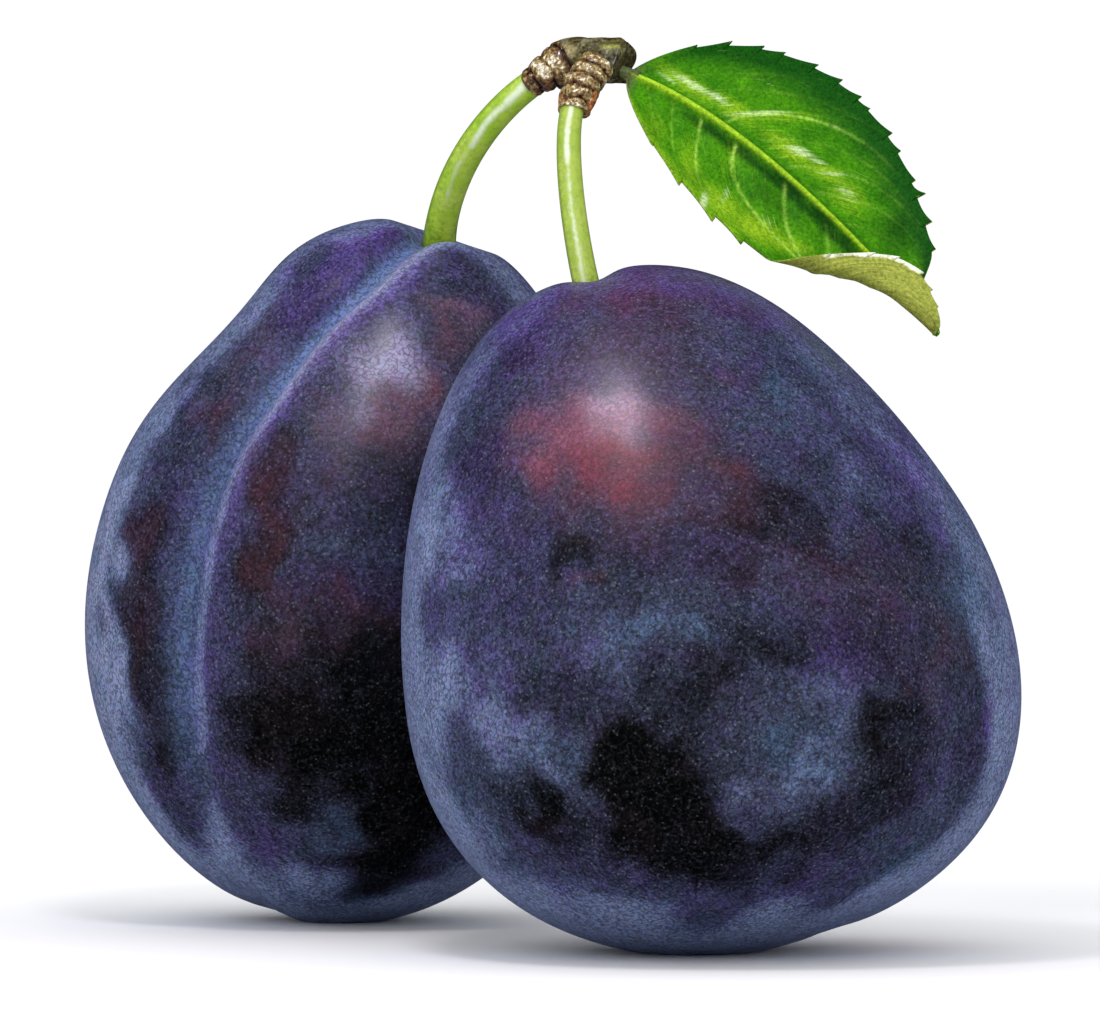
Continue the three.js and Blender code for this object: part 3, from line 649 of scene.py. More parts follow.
def make_fruit(name, fruit, surface, material, lists, seed):
    """One fruit with its fields: bloom from 0 to 1 and above, partly painted rim sheen and painted light low
    down, wine, violet, the painted highlight, the blue line in the suture, and the share of the skin's gloss
    that is kept."""
    grid, polar, around = surface
    out, high = outwards(grid), np.cos(polar)
    far_side = out[..., 1] > 0
    # Partly real wax and partly painted rim sheen: the wax thickens where the skin turns away from the front
    # and the back, so the outline seen from the front is lighter.
    facing = np.abs(out[..., 1]) - mix(0.25, 0.5, far_side) * ripple(grid, 9, 21)
    inner = np.where(far_side, smooth(facing, FAR_FROM, FAR_TO), smooth(facing, SIDE_FROM, SIDE_TO))
    crown = 1 - (1 - fruit["crown_wax"]) * smooth(out[..., 2], *CROWN_FACING)
    sides = mix(SIDE_BLOOM_AND_RIM_SHEEN * crown, BELLY_BLOOM, inner)
    # Painted light: more wax near the table and on the lower flanks, where less light reaches, so they come
    # out lighter.
    foot = FOOT_PAINTED_LIGHT * (1 - smooth(grid[..., 2], 1, FOOT_TOP))
    flank = FLANK_PAINTED_LIGHT * (1 - smooth(grid[..., 2], FOOT_TOP, FLANK_TOP)) * (1 - smooth(facing, 0.3, 0.6))
    belly = smooth(facing, 0.35, 0.7) * (grid[..., 2] > 0)

    own_y = from_suture(fruit, polar, np.sin(around) * np.sin(polar) * fruit["half_thickness"])
    seam_side = smooth(np.cos(around), 0, 0.4) * smooth(high, -0.85, -0.35)
    upper = smooth(high, 0.2, 0.7)
    lip = bell(own_y - LIP_AT, LIP_WIDTH) * seam_side * mix(0.5, 1, smooth(high, -0.2, 0.5))
    # A pale film on the lip beside the suture, painted as a soft highlight line.
    painted_highlight_film = LIP_HIGHLIGHT_SHARE * bell(own_y - LIP_HIGHLIGHT_AT, LIP_HIGHLIGHT_WIDTH) * seam_side * smooth(high, -0.1, 0.6)
    line = bell(own_y + 0.3 * (1 - upper), mix(*SEAM_WIDTHS, upper)) * seam_side
    line = line * mix(*SEAM_SHARES, upper) * smooth(high, -0.8, -0.4)

    laid = {key: marks(grid, out, spots, key in CRISP_MARKS) for key, spots in lists.items()}
    chance = {}
    for extra, (key, how) in enumerate(CHANCE_MARKS.items()):
        chance[key] = chance_marks(grid, out, *how, seed + extra)
    bloom = sides + foot + flank + LIP_WAX * lip + laid["bloom"] - laid["wiped"]
    fields = {
        "bloom": bloom - chance["wiped"] + chance["bloom"],
        "wine": 0.04 * belly + laid["wine"] + chance["wine"],
        "violet": 0.35 + 0.2 * belly + 0.35 * lip + laid["violet"] + chance["violet"],
        "pale": laid["pale"] + painted_highlight_film,
        "seam": line,
        "gloss": 1 - DULL_SHARE * bell(own_y - DULL_AT, DULL_WIDTH) * seam_side,
    }
    points, faces = closed_tube(grid[1:-1], grid[0].mean(axis=0), grid[-1].mean(axis=0))
    fields = {key: ringed(values[1:-1]) for key, values in fields.items()}
    make_piece(name, points, faces, name, "skin", material, fields)


# %% [markdown]
# ### The finish of the skin
#
# Plum skin is a thin, tough, slightly glossy film, with an index of refraction near 1.45. Bloom scatters
# light like dust: it is matt and blue-grey, and a little brighter at the fruit's edge, where the eye looks
# along it. Sheen gives that edge, and the thick wax at the sides adds a painted rim sheen to it. A thin coat
# gives the small bright heart of the highlight and the rough skin below its soft glow, and a pale patch
# painted on each crown adds a painted highlight to both. Rubbed wax rolls up into threads and crumbs. They
# and the grain of the wax are too fine to show, so they are drawn at 0.3 to 0.6 mm.

# %% Plum skin
SKIN_BLACK, SKIN_WINE, SKIN_RUBY = "#05080a", "#3f1e28", "#6e1f31"
BLOOM_BLUE, BLOOM_INDIGO, BLOOM_VIOLET = "#406084", "#4a5379", "#5b4796"
# The thick wax colour is partly painted rim sheen, and the pale and rosy colours are the painted highlight.
HEAVY_BLOOM_AND_RIM_SHEEN, PAINTED_HIGHLIGHT_PALE, PAINTED_HIGHLIGHT_ROSY = "#7483aa", "#aaa6c8", "#be92b0"
WAX_FLECK, WAX_CURL, SEAM_BLUE, SHEEN_TINT = "#9aa0b8", "#7c7f99", "#5a78aa", "#8f98d8"
CLOUD, BRUSH, GRAIN = 4.5, 1.3, 0.3  # mm: where wax has come off in clouds, in strokes and in grains
RED_CLOUD, HUE_CLOUD = 5, 2.2  # mm
BARE_THREAD, WAX_THREAD, CRUMB = 0.52, 0.6, 0.36  # mm


def plum_skin():
    """Dark skin, wine red in places, under a dusty bloom whose edges are broken up by noise."""
    names = "bloom", "wine", "violet", "pale", "seam", "gloss"
    material, shader, node, field = new_material("plum skin with wax bloom", names)
    where = node("TexCoord", {}, "Object")
    cloud = node("TexNoise", pattern(where, CLOUD, 5.0, 0.55, 0.4))
    brush = node("TexNoise", pattern(where, BRUSH, 3.0, 0.6, 0.3))
    grain = node("TexNoise", pattern(where, GRAIN, 2.0, 0.8))
    red_cloud = node("TexNoise", {**pattern(where, RED_CLOUD, 5.0, 0.65), "W": 3.0}, noise_dimensions="4D")
    hue_cloud = node("TexNoise", {**pattern(where, HUE_CLOUD, 4.0, 0.6), "W": 9.0}, noise_dimensions="4D")

    # The wax's thickness and its tint are each a field plus noises, and so is the skin's redness.
    level, tint = field["bloom"], field["violet"]
    for noise, weight in ((cloud, 0.65), (brush, 0.7), (grain, 0.8)):
        level = node("Math", {0: noise, 1: weight, 2: level}, operation="MULTIPLY_ADD")
    for noise, weight in ((red_cloud, 1.2), (hue_cloud, 1.4)):
        tint = node("Math", {0: noise, 1: weight, 2: tint}, operation="MULTIPLY_ADD")
    red = node("Math", {0: red_cloud, 1: 0.34, 2: field["wine"]}, operation="MULTIPLY_ADD")
    red = node("MapRange", {"Value": red, "From Min": 0.2, "From Max": 1.07})
    cover = node("MapRange", {"Value": level, "From Min": 0.63, "From Max": 2.33})
    cover = node("Math", {0: cover, 1: 1.8}, operation="POWER")
    keep = node("Math", {0: red, 1: -0.74, 2: 1.0}, operation="MULTIPLY_ADD")
    thick = node("Math", {0: cover, 1: keep}, operation="MULTIPLY")

    bare = layered(node, SKIN_BLACK, (red, 0, 0.5, 1, SKIN_WINE), (red, 0.5, 1, 1, SKIN_RUBY))
    dust = layered(
        node,
        BLOOM_INDIGO,
        (tint, 1.6, 1.05, 1, BLOOM_BLUE),
        (tint, 1.65, 2.3, 1, BLOOM_VIOLET),
        # Thick wax, paler still, partly as painted rim sheen at the outline.
        (level, 2.1, 3.0, 1, HEAVY_BLOOM_AND_RIM_SHEEN),
    )
    # The painted highlight's colour: pale, turning rosy over red skin.
    painted_highlight_film = layered(node, PAINTED_HIGHLIGHT_PALE, (red, 0, 1, 1, PAINTED_HIGHLIGHT_ROSY))
    skin = layered(
        node,
        bare,
        (thick, 0, 1, 1, dust),
        (field["seam"], 0, 1, 0.75, SEAM_BLUE),
        # The painted highlight on each crown, with its glow, and the pale line on the lip.
        (field["pale"], 0, 1, 1, painted_highlight_film),
    )

    # Threads lie where a noise is near its middle value: bare ones in the wax, and rolled wax on top.
    bare_noise = node("TexNoise", pattern(where, BARE_THREAD, 1.5, 0.6))
    wax_noise = node("TexNoise", {**pattern(where, WAX_THREAD, 1.5, 0.6), "W": 7.0}, noise_dimensions="4D")
    threads = []
    for noise in (bare_noise, wax_noise):
        offset = node("Math", {0: noise, 1: 0.5}, operation="SUBTRACT")
        threads.append(node("Math", {0: offset}, operation="ABSOLUTE"))
    lined = node("MapRange", {"Value": red, "To Min": 1.0, "To Max": 0.5})
    skin = shaded(node, skin, threads[0], (0, 0.09), (0.4, 1.14), lined)
    skin = shaded(node, skin, grain, (0.3, 0.7), (0.75, 1.25))
    broken = node("MapRange", {"Value": grain, "From Min": 0.42, "From Max": 0.68})
    held = node("MapRange", {"Value": thick, "From Max": 0.25, "To Min": 0.5})
    curl = node("MapRange", {"Value": threads[1], "From Min": 0.06, "From Max": 0, "To Max": 0.2})
    for share in (broken, held):
        curl = node("Math", {0: curl, 1: share}, operation="MULTIPLY")
    skin = layered(node, skin, (curl, 0, 1, 1, WAX_CURL))

    # Crumbs are the middles of a few chosen cells.
    cells = {"Vector": where, "Scale": 1000 / CRUMB, "Randomness": 1.0}
    middle = node("TexVoronoi", cells, "Distance")
    chance = node("TexVoronoi", cells, "Color")
    skin = node("Mix", {0: 0.12, 6: skin, 7: chance}, 2, data_type="RGBA", blend_type="SOFT_LIGHT")
    crumb = node("MapRange", {"Value": middle, "From Min": 0.35, "From Max": 0.1})
    rare = node("MapRange", {"Value": chance, "From Min": 0.4, "From Max": 0.9, "To Max": 0.34})
    for share in (rare, held):
        crumb = node("Math", {0: crumb, 1: share}, operation="MULTIPLY")
    skin = layered(node, skin, (crumb, 0, 1, 1, WAX_FLECK))

    roughness = node("MapRange", {"Value": cover, "To Min": 0.42, "To Max": 0.56})
    coat = node("MapRange", {"Value": red, "To Min": 0.4, "To Max": 0.2})
    coat = node("Math", {0: field["gloss"], 1: coat}, operation="MULTIPLY")
    bump = node("Bump", {"Strength": 0.3, "Distance": 0.0001, "Height": grain})
    fill(shader, {"Base Color": skin, "Roughness": roughness, "Normal": bump, "IOR": 1.45})
    fill(shader, {"Specular IOR Level": 0.35, "Coat Weight": coat, "Coat Roughness": 0.3})
    fill(shader, {"Sheen Weight": 0.11, "Sheen Roughness": 0.35, "Sheen Tint": SHEEN_TINT})
    return material


skin = plum_skin()
make_fruit("plum_front", FRONT_FRUIT, front_surface, skin, FRONT_MARKS, 40)
make_fruit("plum_back", BACK_FRUIT, back_surface, skin, BACK_MARKS, 50)

# %% [markdown]
# ## The stalks
#
# A plum's stalk is a smooth green cylinder, as thick as a match. It is necked where the spur holds it, and
# it flares a little where it enters the fruit. A tube along a curve makes it, with faint ribs.

# %% Stalk shapes
FRONT_STALK = {
    "path": [[2.06, -2.2, 69.4], [0.54, -3.8, 67.3], [1.83, -10.5, 57.0], [3.75, -12.9, 50.8]],
    "radius": (0.95, 1.12),
    "streaks": [(0.05, 0.45, 0.28, 0.8), (0.4, 0.92, 0.3, 0.42)],  # start, end, width in radians, strength
    "dull": 0.4,
}
BACK_STALK = {
    "path": [[-0.74, 2.6, 71.1], [-4.6, 5.0, 68.8], [-10.0, 13.5, 62.3], [-9.4, 15.7, 54.4]],
    "radius": (1.12, 1.36),
    "streaks": [(0.05, 0.26, 0.4, 0.95), (0.14, 0.5, 0.28, 0.85), (0.4, 0.75, 0.24, 0.4)],
    "dull": 0.0,
}
STREAK_SIDE = np.radians(82)  # the lit side, where the painted highlight streaks lie: towards the front and a little to the left
STREAK_WANDER = 0.06  # radians
STREAK_ENDS = (0.04, 0.08)  # shares of the length in which a streak comes and goes
NECK_SHARE, NECK_FROM, NECK_TO = 0.28, 0.05, 0.09  # of the radius, and where along the stalk
FLARE_SHARE, FLARE_LENGTH = 0.12, 0.12  # of the radius and of the length
RIBS, RIB_SHARE = 9, 0.012
STALK_ROWS, STALK_COLUMNS = 180, 64


def make_stalk(name, stalk, material):
    """A tube whose radius grows along it, less the neck's share at its start, plus a bell at its end. Its
    pale streaks are painted highlights: bells round the stalk, on the lit side at STREAK_SIDE, that come and
    go along it. The other fields are the place along it, how far round from the front a point is, which the
    finish darkens at the sides as painted shade, how far to the right, and dullness."""

    def radius_at(t, angle):
        neck = 1 - NECK_SHARE * (1 - smooth(t, NECK_FROM, NECK_TO))
        ribs = 1 + RIB_SHARE * np.sin(RIBS * angle + 3 * t)
        return mix(*stalk["radius"], t) * neck * ribs * (1 + FLARE_SHARE * bell(t - 1, FLARE_LENGTH))

    points, faces, t, angle = stem(stalk["path"], radius_at, STALK_ROWS, STALK_COLUMNS)
    away = (angle - STREAK_SIDE + np.pi) % (2 * np.pi) - np.pi
    streak = np.zeros(len(points))
    for start, end, width, strength in stalk["streaks"]:
        along = smooth(t, start, start + STREAK_ENDS[0]) * (1 - smooth(t, end - STREAK_ENDS[1], end))
        streak = np.maximum(streak, strength * along * bell(away + STREAK_WANDER * np.sin(25 * t), width))
    # How far round from the front: the finish darkens the sides by it as painted shade.
    rim = 0.5 - 0.5 * np.sin(angle)
    right = 0.5 + 0.5 * np.cos(angle)
    fields = {"along": t, "streak": streak, "rim": rim, "right": right, "dull": stalk["dull"] + 0 * t}
    make_piece(name, points, faces, name, "stalk", material, fields)


# %% [markdown]
# ### The finish of the stalks
#
# The skin is fresh and green with a thin, even gloss. It is yellow-green on its light side, and darker round
# the sides, which is painted shade, and where the fruit holds it. Pale streaks along its lit side are painted
# highlights, and pores make darker dots half a millimetre apart.

# %% Stalk skin
MOTTLE, WASH = 0.5, 2.5  # mm


def stalk_skin():
    """Green layers from the skin outwards, broken up by a mottle and a wider wash."""
    names = "along", "streak", "rim", "right", "dull"
    material, shader, node, field = new_material("fresh green stalk skin", names)
    where = node("TexCoord", {}, "Object")
    mottle = node("TexNoise", pattern(where, MOTTLE, 4.0, 0.7))
    wash = node("TexNoise", pattern(where, WASH, 3.0, 0.6))
    dots = node("Math", {0: field["right"], 1: 0.14, 2: mottle}, operation="MULTIPLY_ADD")
    # Painted highlight streaks on the lit side, broken up by the mottle.
    painted_highlight_streak = node("Math", {0: mottle, 1: 1.3, 2: field["streak"]}, operation="MULTIPLY_ADD")
    foot = node("Math", {0: mottle, 1: 0.35, 2: field["along"]}, operation="MULTIPLY_ADD")
    green = layered(
        node,
        "#a0cb2c",
        (wash, 0.35, 0.65, 1, "#bcd850"),  # paler green in a wash
        (field["rim"], 0.17, 0.52, 0.9, "#5c8a17"),  # the sides, darker as painted shade
        (dots, 0.52, 0.76, 0.6, "#6a9020"),  # pores
        (field["dull"], 0, 1, 1, "#838c48"),  # an older, duller skin
        (painted_highlight_streak, 0.85, 1.5, 0.92, "#e4f2d2"),  # painted highlight streaks on the lit side
        (foot, 0.97, 1.14, 0.7, "#3d5a0e"),  # the end that the fruit holds
    )
    bump = node("Bump", {"Strength": 0.35, "Distance": 0.0001, "Height": mottle})
    fill(shader, {"Base Color": green, "Roughness": 0.37, "Normal": bump, "IOR": 1.45})
    return material


green = stalk_skin()
make_stalk("stalk_front", FRONT_STALK, green)
make_stalk("stalk_back", BACK_STALK, green)

# %% [markdown]
# ## The spur
#
# A fruiting spur is a stub of twig that grows a little every year and leaves a ring each time, so it looks
# like a stack of wrinkled collars. Two knuckles hold the stalks, and thin orange-brown bud scales stay at
# their sides. All of it is one grown piece, so its tubes are joined into one mesh.

# %% Spur shapes
TWIG_PATH = [[0.5, 3.3, 72.0], [2.4, 2.4, 72.4], [4.2, 1.4, 72.5], [6.0, 0.4, 72.3]]
BACK_PATH = [[1.5, 2.3, 72.3], [0.4, 2.0, 71.9], [-0.7, 2.3, 71.25], [-1.7, 2.95, 70.6]]
FRONT_PATH = [[4.1, -0.1, 72.5], [3.2, -1.2, 71.4], [2.1, -1.9, 70.1], [1.75, -2.75, 68.3]]
TWIG_RADIUS = (1.9, 2.0)
BACK_KNUCKLE = {"path": BACK_PATH, "radius": (1.95, 1.1), "rings": 3, "bulge": 0, "seed": 61}
FRONT_KNUCKLE = {"path": FRONT_PATH, "radius": (1.25, 1.22), "rings": 5, "bulge": 0.22, "seed": 71}
RING_HEIGHT, RING_LUMP, BARK_ROUGH = 0.14, 0.06, 0.06  # mm
RING_TILT = 0.05  # share of a knuckle's length
RING_WANDER = (0.12, 0.07)  # shares of a ring, in two waves and in five round the knuckle
BARK_SWELL, BARK_PINCH, BARK_TORN, BARK_TEETH = 0.06, 0.04, 0.14, 0.1  # shares of the twig's radius
STUB_COLUMNS, RING_ROWS, TWIG_ROWS = 128, 44, 120
BUD_ROWS, BUD_COLUMNS = 40, 32
BUD_SCALES = [  # start, end, half-width and half-thickness
    ((3.7, -2.0, 70.3), (2.75, -3.1, 68.0), 0.62, 0.42),
    ((0.95, -2.0, 70.2), (0.85, -3.0, 68.0), 0.5, 0.4),
]
# Marks on the bark, each with its centre, size and strength: a painted shadow at the twig's broken end, a
# tan patch, a painted highlight line along the twig's top, and a cream patch that is partly a painted glint.
# The cream one lies on the knuckles, the rest on the twig.
SPUR_MARKS = {
    # A painted shadow at the twig's broken end.
    "shadow": ((5.6, -0.6, 71.9), (1.4, 2.0, 1.5), 0.45),
    "tan": ((0.7, 0.4, 73.3), (1.3, 2.0, 0.7), 0.85),
    # A yellow-green painted highlight line along the twig's top.
    "painted_twig_highlight": ((4.9, -0.2, 73.6), (0.9, 1.0, 0.2), 0.5),
    # A cream patch on the back knuckle, partly a painted glint.
    "cream": ((-0.7, 0.0, 72.0), (1.5, 3.0, 1.1), 0.9),
}


def knobbly(t, angle, seed):
    """Uneven bark: the sum of fourteen sine waves round and along a stub, with random phases, over seven."""
    draw = np.random.default_rng(seed)
    waves = zip(draw.integers(1, 9, 14), draw.uniform(-40, 40, 14), draw.uniform(0, 2 * np.pi, 14))
    return sum(np.sin(turns * angle + along * t + phase) for turns, along, phase in waves) / 7


def knuckle(path, radius, rings, bulge, seed):
    """A stub whose radius is a straight taper, a half-sine bulge, and collars with sharp grooves between
    them: the absolute cosine of half the ring phase, to a power below one. The collars tilt and wander a
    little. Returns the mesh, each point's height on its collar, and a chance number for each collar."""

    def phase(t, angle):
        slow, quick = np.sin(2 * angle + seed), np.sin(5 * angle + 2 * seed + 9 * t)
        return rings * (t + RING_TILT * np.sin(angle)) + (RING_WANDER[0] * slow + RING_WANDER[1] * quick)

    def collar(t, angle):
        return 2 * np.abs(np.cos(np.pi * phase(t, angle))) ** 0.5 - 1

    def radius_at(t, angle):
        bark = RING_LUMP * np.sin(3 * angle + 4 * t) + BARK_ROUGH * knobbly(t, angle, seed)
        rough = mix(*radius, t) + bulge * np.sin(np.pi * t) + RING_HEIGHT * collar(t, angle) + bark
        return rough * mix(0.5, 1, smooth(t, 0, 0.12))

    points, faces, t, angle = stem(path, radius_at, RING_ROWS * rings, STUB_COLUMNS)
    chance = 0.5 + 0.5 * np.sin(37.7 * np.round(phase(t, angle)) + seed)  # big steps scatter a sine
    return points, faces, collar(t, angle), chance


def twig():
    """Bark that swells and pinches round a stub, ridged lengthwise, with a ragged broken end."""

    def radius_at(t, angle):
        swell = BARK_SWELL * np.sin(2 * angle + 6 * t) + BARK_PINCH * np.sin(5 * angle - 9 * t)
        torn = smooth(t, 0.88, 1) * (BARK_TORN + BARK_TEETH * np.sin(4 * angle))
        return mix(*TWIG_RADIUS, t) * (1 + swell - torn) + BARK_ROUGH * knobbly(0.6 * t, angle, 5)

    return stem(TWIG_PATH, radius_at, TWIG_ROWS, STUB_COLUMNS)[:2]


def bud_scale(start, end, half_width, half_thickness):
    """A flattened lens from start to end, pointed at its lower end: rings whose radius is the root of one
    less the square of their place, and a little less towards the point."""
    start, end = np.array(start), np.array(end)
    way = unit(end - start)
    across = unit(np.cross(Y_AXIS, way))
    out = unit(np.cross(across, way))
    share = np.linspace(0.02, 0.98, BUD_ROWS)[:, None]
    angle = -np.linspace(0, 2 * np.pi, BUD_COLUMNS, endpoint=False)[None, :]
    round_off = np.sqrt(np.clip(1 - (2 * share - 1) ** 2, 0, 1)) * (1 - 0.25 * share**3)
    rings = start + (end - start) * (share + 0 * angle)[..., None]
    rings = rings + across * (half_thickness * round_off * np.cos(angle))[..., None]
    rings = rings + out * (half_width * round_off * np.sin(angle))[..., None]
    return closed_tube(rings, start, end)


# %% [markdown]
# ### The finish of the bark
#
# The bark is young and glossy. Weather wears the tops of the collars to ochre and cream, and the grooves
# between them stay red-brown to black; the brightest cream is also a painted glint. Grey wax lies on the
# olive twig, with a painted yellow-green highlight line along its top and a painted shadow at its broken
# end. One number, for wear and glint, says how far a point has gone from groove to top, and each colour
# starts at its own level of it.

# %% Bark
BLOTCH, PATCH, CORK = 0.5, 1.1, 0.25  # mm


def spur_bark():
    """Four colours of wear, the brightest partly a painted glint, rust in patches, then the twig's own olive,
    a tan patch, a painted highlight line, a painted shadow and the bud scales.
    """
    names = "ridge", "chance", "twig", "scale", "shadow", "painted_twig_highlight", "cream", "tan"
    material, shader, node, field = new_material("plum spur bark", names)
    where = node("TexCoord", {}, "Object")
    blotch = node("TexNoise", pattern(where, BLOTCH, 4.0, 0.75))
    patch = node("TexNoise", pattern(where, PATCH, 2.0, 0.6))
    cork = node("TexNoise", pattern(where, CORK, 2.0, 0.7))
    # Wear from groove to top; on collar tops and the cream mark its cream is also a painted glint.
    wear_and_glint = blotch
    for name, weight in (("chance", 0.12), ("ridge", 0.16), ("cream", 0.3)):
        wear_and_glint = node("Math", {0: field[name], 1: weight, 2: wear_and_glint}, operation="MULTIPLY_ADD")
    olive = layered(node, "#2f290f", (blotch, 0.38, 0.62, 1, "#5e592a"), (patch, 0.52, 0.66, 0.5, "#8e8c70"))
    orange = layered(node, "#6b3314", (blotch, 0.38, 0.62, 1, "#b97835"))
    bark = layered(
        node,
        "#1f0f06",
        (wear_and_glint, 0.465, 0.585, 1, "#614628"),  # brown bark
        (wear_and_glint, 0.65, 0.755, 1, "#998450"),  # ochre cork
        (wear_and_glint, 0.8, 0.905, 1, "#e8e0c8"),  # cream where it is bare, and a painted glint
        (patch, 0.55, 0.68, 0.45, "#7c3f26"),  # rust
        (field["twig"], 0, 1, 1, olive),
        # A yellow-green painted highlight line along the twig's top.
        (field["painted_twig_highlight"], 0, 1, 1, "#c3c85c"),
        (field["tan"], 0, 1, 1, "#b3a574"),
        (field["scale"], 0, 1, 1, orange),
        # The painted shadow at the twig's broken end.
        (field["shadow"], 0, 1, 1, "#141310"),
    )
    bark = shaded(node, bark, cork, (0.3, 0.7), (0.5, 1.5))
    bump = node("Bump", {"Strength": 0.4, "Distance": 0.00012, "Height": blotch})
    coat = node("MapRange", {"Value": field["twig"], "To Min": 1.0, "To Max": 0.1})
    fill(shader, {"Base Color": bark, "Roughness": 0.4, "Normal": bump, "IOR": 1.5})
    fill(shader, {"Coat Weight": coat, "Coat Roughness": 0.1})
    return material


def make_spur():
    """All the spur's parts as one mesh. Its fields say how high on its collar a point is, a chance number
    for each collar, which part is the twig and which are bud scales, and where the marks are: a painted
    shadow, a tan patch, a painted highlight line and a cream patch, partly a painted glint."""
    parts = [(*knuckle(**shape), 0, 0) for shape in (FRONT_KNUCKLE, BACK_KNUCKLE)]
    parts.append((*twig(), 0, 0, 1, 0))
    parts += [(*bud_scale(*bud), 0, 0, 0, 1) for bud in BUD_SCALES]
    points, faces = joined(*[part[:2] for part in parts])
    fields = {}
    for at, name in enumerate(("ridge", "chance", "twig", "scale"), start=2):
        fields[name] = np.concatenate([part[at] + np.zeros(len(part[0])) for part in parts])
    for name, (centre, size, strength) in SPUR_MARKS.items():
        away = np.linalg.norm((points - centre) / size, axis=-1)
        allowed = 1 - fields["twig"] if name == "cream" else fields["twig"]
        fields[name] = strength * bell(away**2, 1) * allowed
    make_piece("spur", points, faces, "spur", "bark", spur_bark(), fields)


make_spur()

# %% [markdown]
# ## The leaf
#
# The blade is a thin sheet on a curved midrib. Across the midrib, each half bends by its own slope, which
# is added up step by step from the midrib to the margin, so the sheet is never stretched. Near the tip the
# lower half folds right over and shows its olive underside. The margin's teeth point to the tip. Veins
# leave the midrib in pairs and sweep forwards, and the blade is slightly quilted between them.

# %% The leaf's dimensions, in mm and degrees
MIDRIB = [[6.35, -0.2, 71.3], [14.2, -1.6, 68.6], [24.2, -4.5, 59.3], [31.7, -7.5, 50.1]]
VEIN_SCALE = 38  # mm that the whole midrib counts for in the veins' and streaks' distances
PETIOLE = [[4.2, 1.6, 71.7], [5.1, 0.9, 71.6], [5.8, 0.1, 71.5], [7.2, -0.25, 71.1]]
PETIOLE_RADIUS, PETIOLE_ROWS, PETIOLE_COLUMNS = (0.8, 0.45), 24, 40
BLADE_FACING = np.array([0, -0.839, 0.545])
BLADE_BASE = 0.3
BLADE_COLUMNS, LOWER_ROWS, UPPER_ROWS = 330, 76, 68
BLADE_SLICES = 60  # that the slope is added up over, from the midrib to any point
BLADE_THICKNESS = (0.34, 0.14)  # at the midrib and at the margin
# Slope is in degrees, at the midrib and by the share bent_by of the half-width. Narrowed is where along the
# midrib the half narrows, and by what share. Each tooth: where its tip is along the midrib, from 0 to 1, and
# its height. Each vein: where it leaves the midrib, how it leans, how far it sweeps forwards and to what
# power, and how plain it is.
UPPER_HALF = {
    "half_width": 10.0,
    "peak": 0.87,
    "fullness": 0.98,
    "slope": (-22, 10),
    "bent_by": 1.0,
    "narrowed": (0.84, 0.93, 0.9),
    "teeth": [
        (0.12, 0.5), (0.18, 0.8), (0.251, 0.55), (0.298, 0.4), (0.368, 0.5), (0.431, 0.55), (0.486, 0.5),
        (0.519, 0.3), (0.584, 0.45), (0.629, 0.35), (0.694, 0.35), (0.724, 0.7), (0.784, 0.6),
        (0.837, 0.35),
    ],
    "veins": [
        (0.06, 0.14, 0.30, 3, 0.12), (0.17, 0.12, 0.35, 3, 0.18), (0.30, 0.08, 0.40, 3, 0.85),
        (0.385, 0.14, 0.35, 3, 0.18), (0.47, 0.20, 0.20, 3, 0.35), (0.56, 0.20, 0.20, 3, 0.2),
        (0.66, 0.20, 0.15, 3, 0.15), (0.76, 0.18, 0.10, 3, 0.1),
    ],
}
LOWER_HALF = {
    "half_width": 7.9,
    "peak": 0.98,
    "fullness": 0.64,
    "slope": (-8, 32),
    "bent_by": 0.9,
    "narrowed": (0.84, 0.93, 0.0),
    "teeth": [
        (0.188, 0.5), (0.321, 0.95), (0.454, 1.0), (0.551, 0.7), (0.712, 0.35), (0.732, 0.25),
        (0.769, 0.45), (0.812, 0.4), (0.875, 0.35), (0.917, 0.3), (0.955, 0.15),
    ],
    "veins": [
        (0.06, 0.10, 0.10, 3, 0.2), (0.15, 0.09, 0.10, 3, 0.3), (0.245, 0.09, 0.11, 3, 0.7),
        (0.358, 0.08, 1.40, 4, 1.0), (0.505, 0.16, 0.30, 3, 0.8), (0.63, 0.20, 0.20, 3, 0.3),
        (0.75, 0.20, 0.10, 3, 0.2),
    ],
}
TOOTH_INSET, TOOTH_POWER = 0.84, 3  # share of the half-width where teeth begin, and how steeply they rise
TOOTH_HOOK = 0.6  # share of its height by which a tooth leans forwards
FOLD_ANGLE, FOLD_RADIUS = 177, 0.9
FOLD_SHARES = (1.6, 0.3)  # where the fold's line is, as a share of the half-width, before and after it starts
FOLD_FROM, FOLD_TO = 0.45, 0.89
FOLD_WIDTHS = (0.1, 1.2)  # half-widths with no fold, and with the whole of it
VEIN_WIDTHS, VEIN_DIP = (0.18, 0.1), 1.0  # of the lines at the midrib and at the margin, and of the dips
RIB_WIDTHS = (0.26, 0.12)  # of the midrib, at the base and at the tip
RIB_HEIGHT, KEEL_HEIGHT, KEEL_WIDTH = 0.22, 0.5, 0.5  # above the sheet, and below it
HOLLOW_DEPTH, HOLLOW_AT, HOLLOW_WIDTH = 0.16, 0.75, 0.45  # beside the midrib
QUILT_DEPTH, VEIN_HEIGHT = 0.2, 0.1


# %% The bent sheet
def blade_width(u, half):
    """Half-width along the midrib: the sine of pi times a power of u, itself raised to a power, and
    narrowed near the tip by a smooth step."""
    arch = np.sin(np.pi * np.minimum(u, 0.999) ** half["peak"])
    start, end, share = half["narrowed"]
    return (BLADE_BASE + half["half_width"] * arch ** half["fullness"]) * (1 - share * smooth(u, start, end))


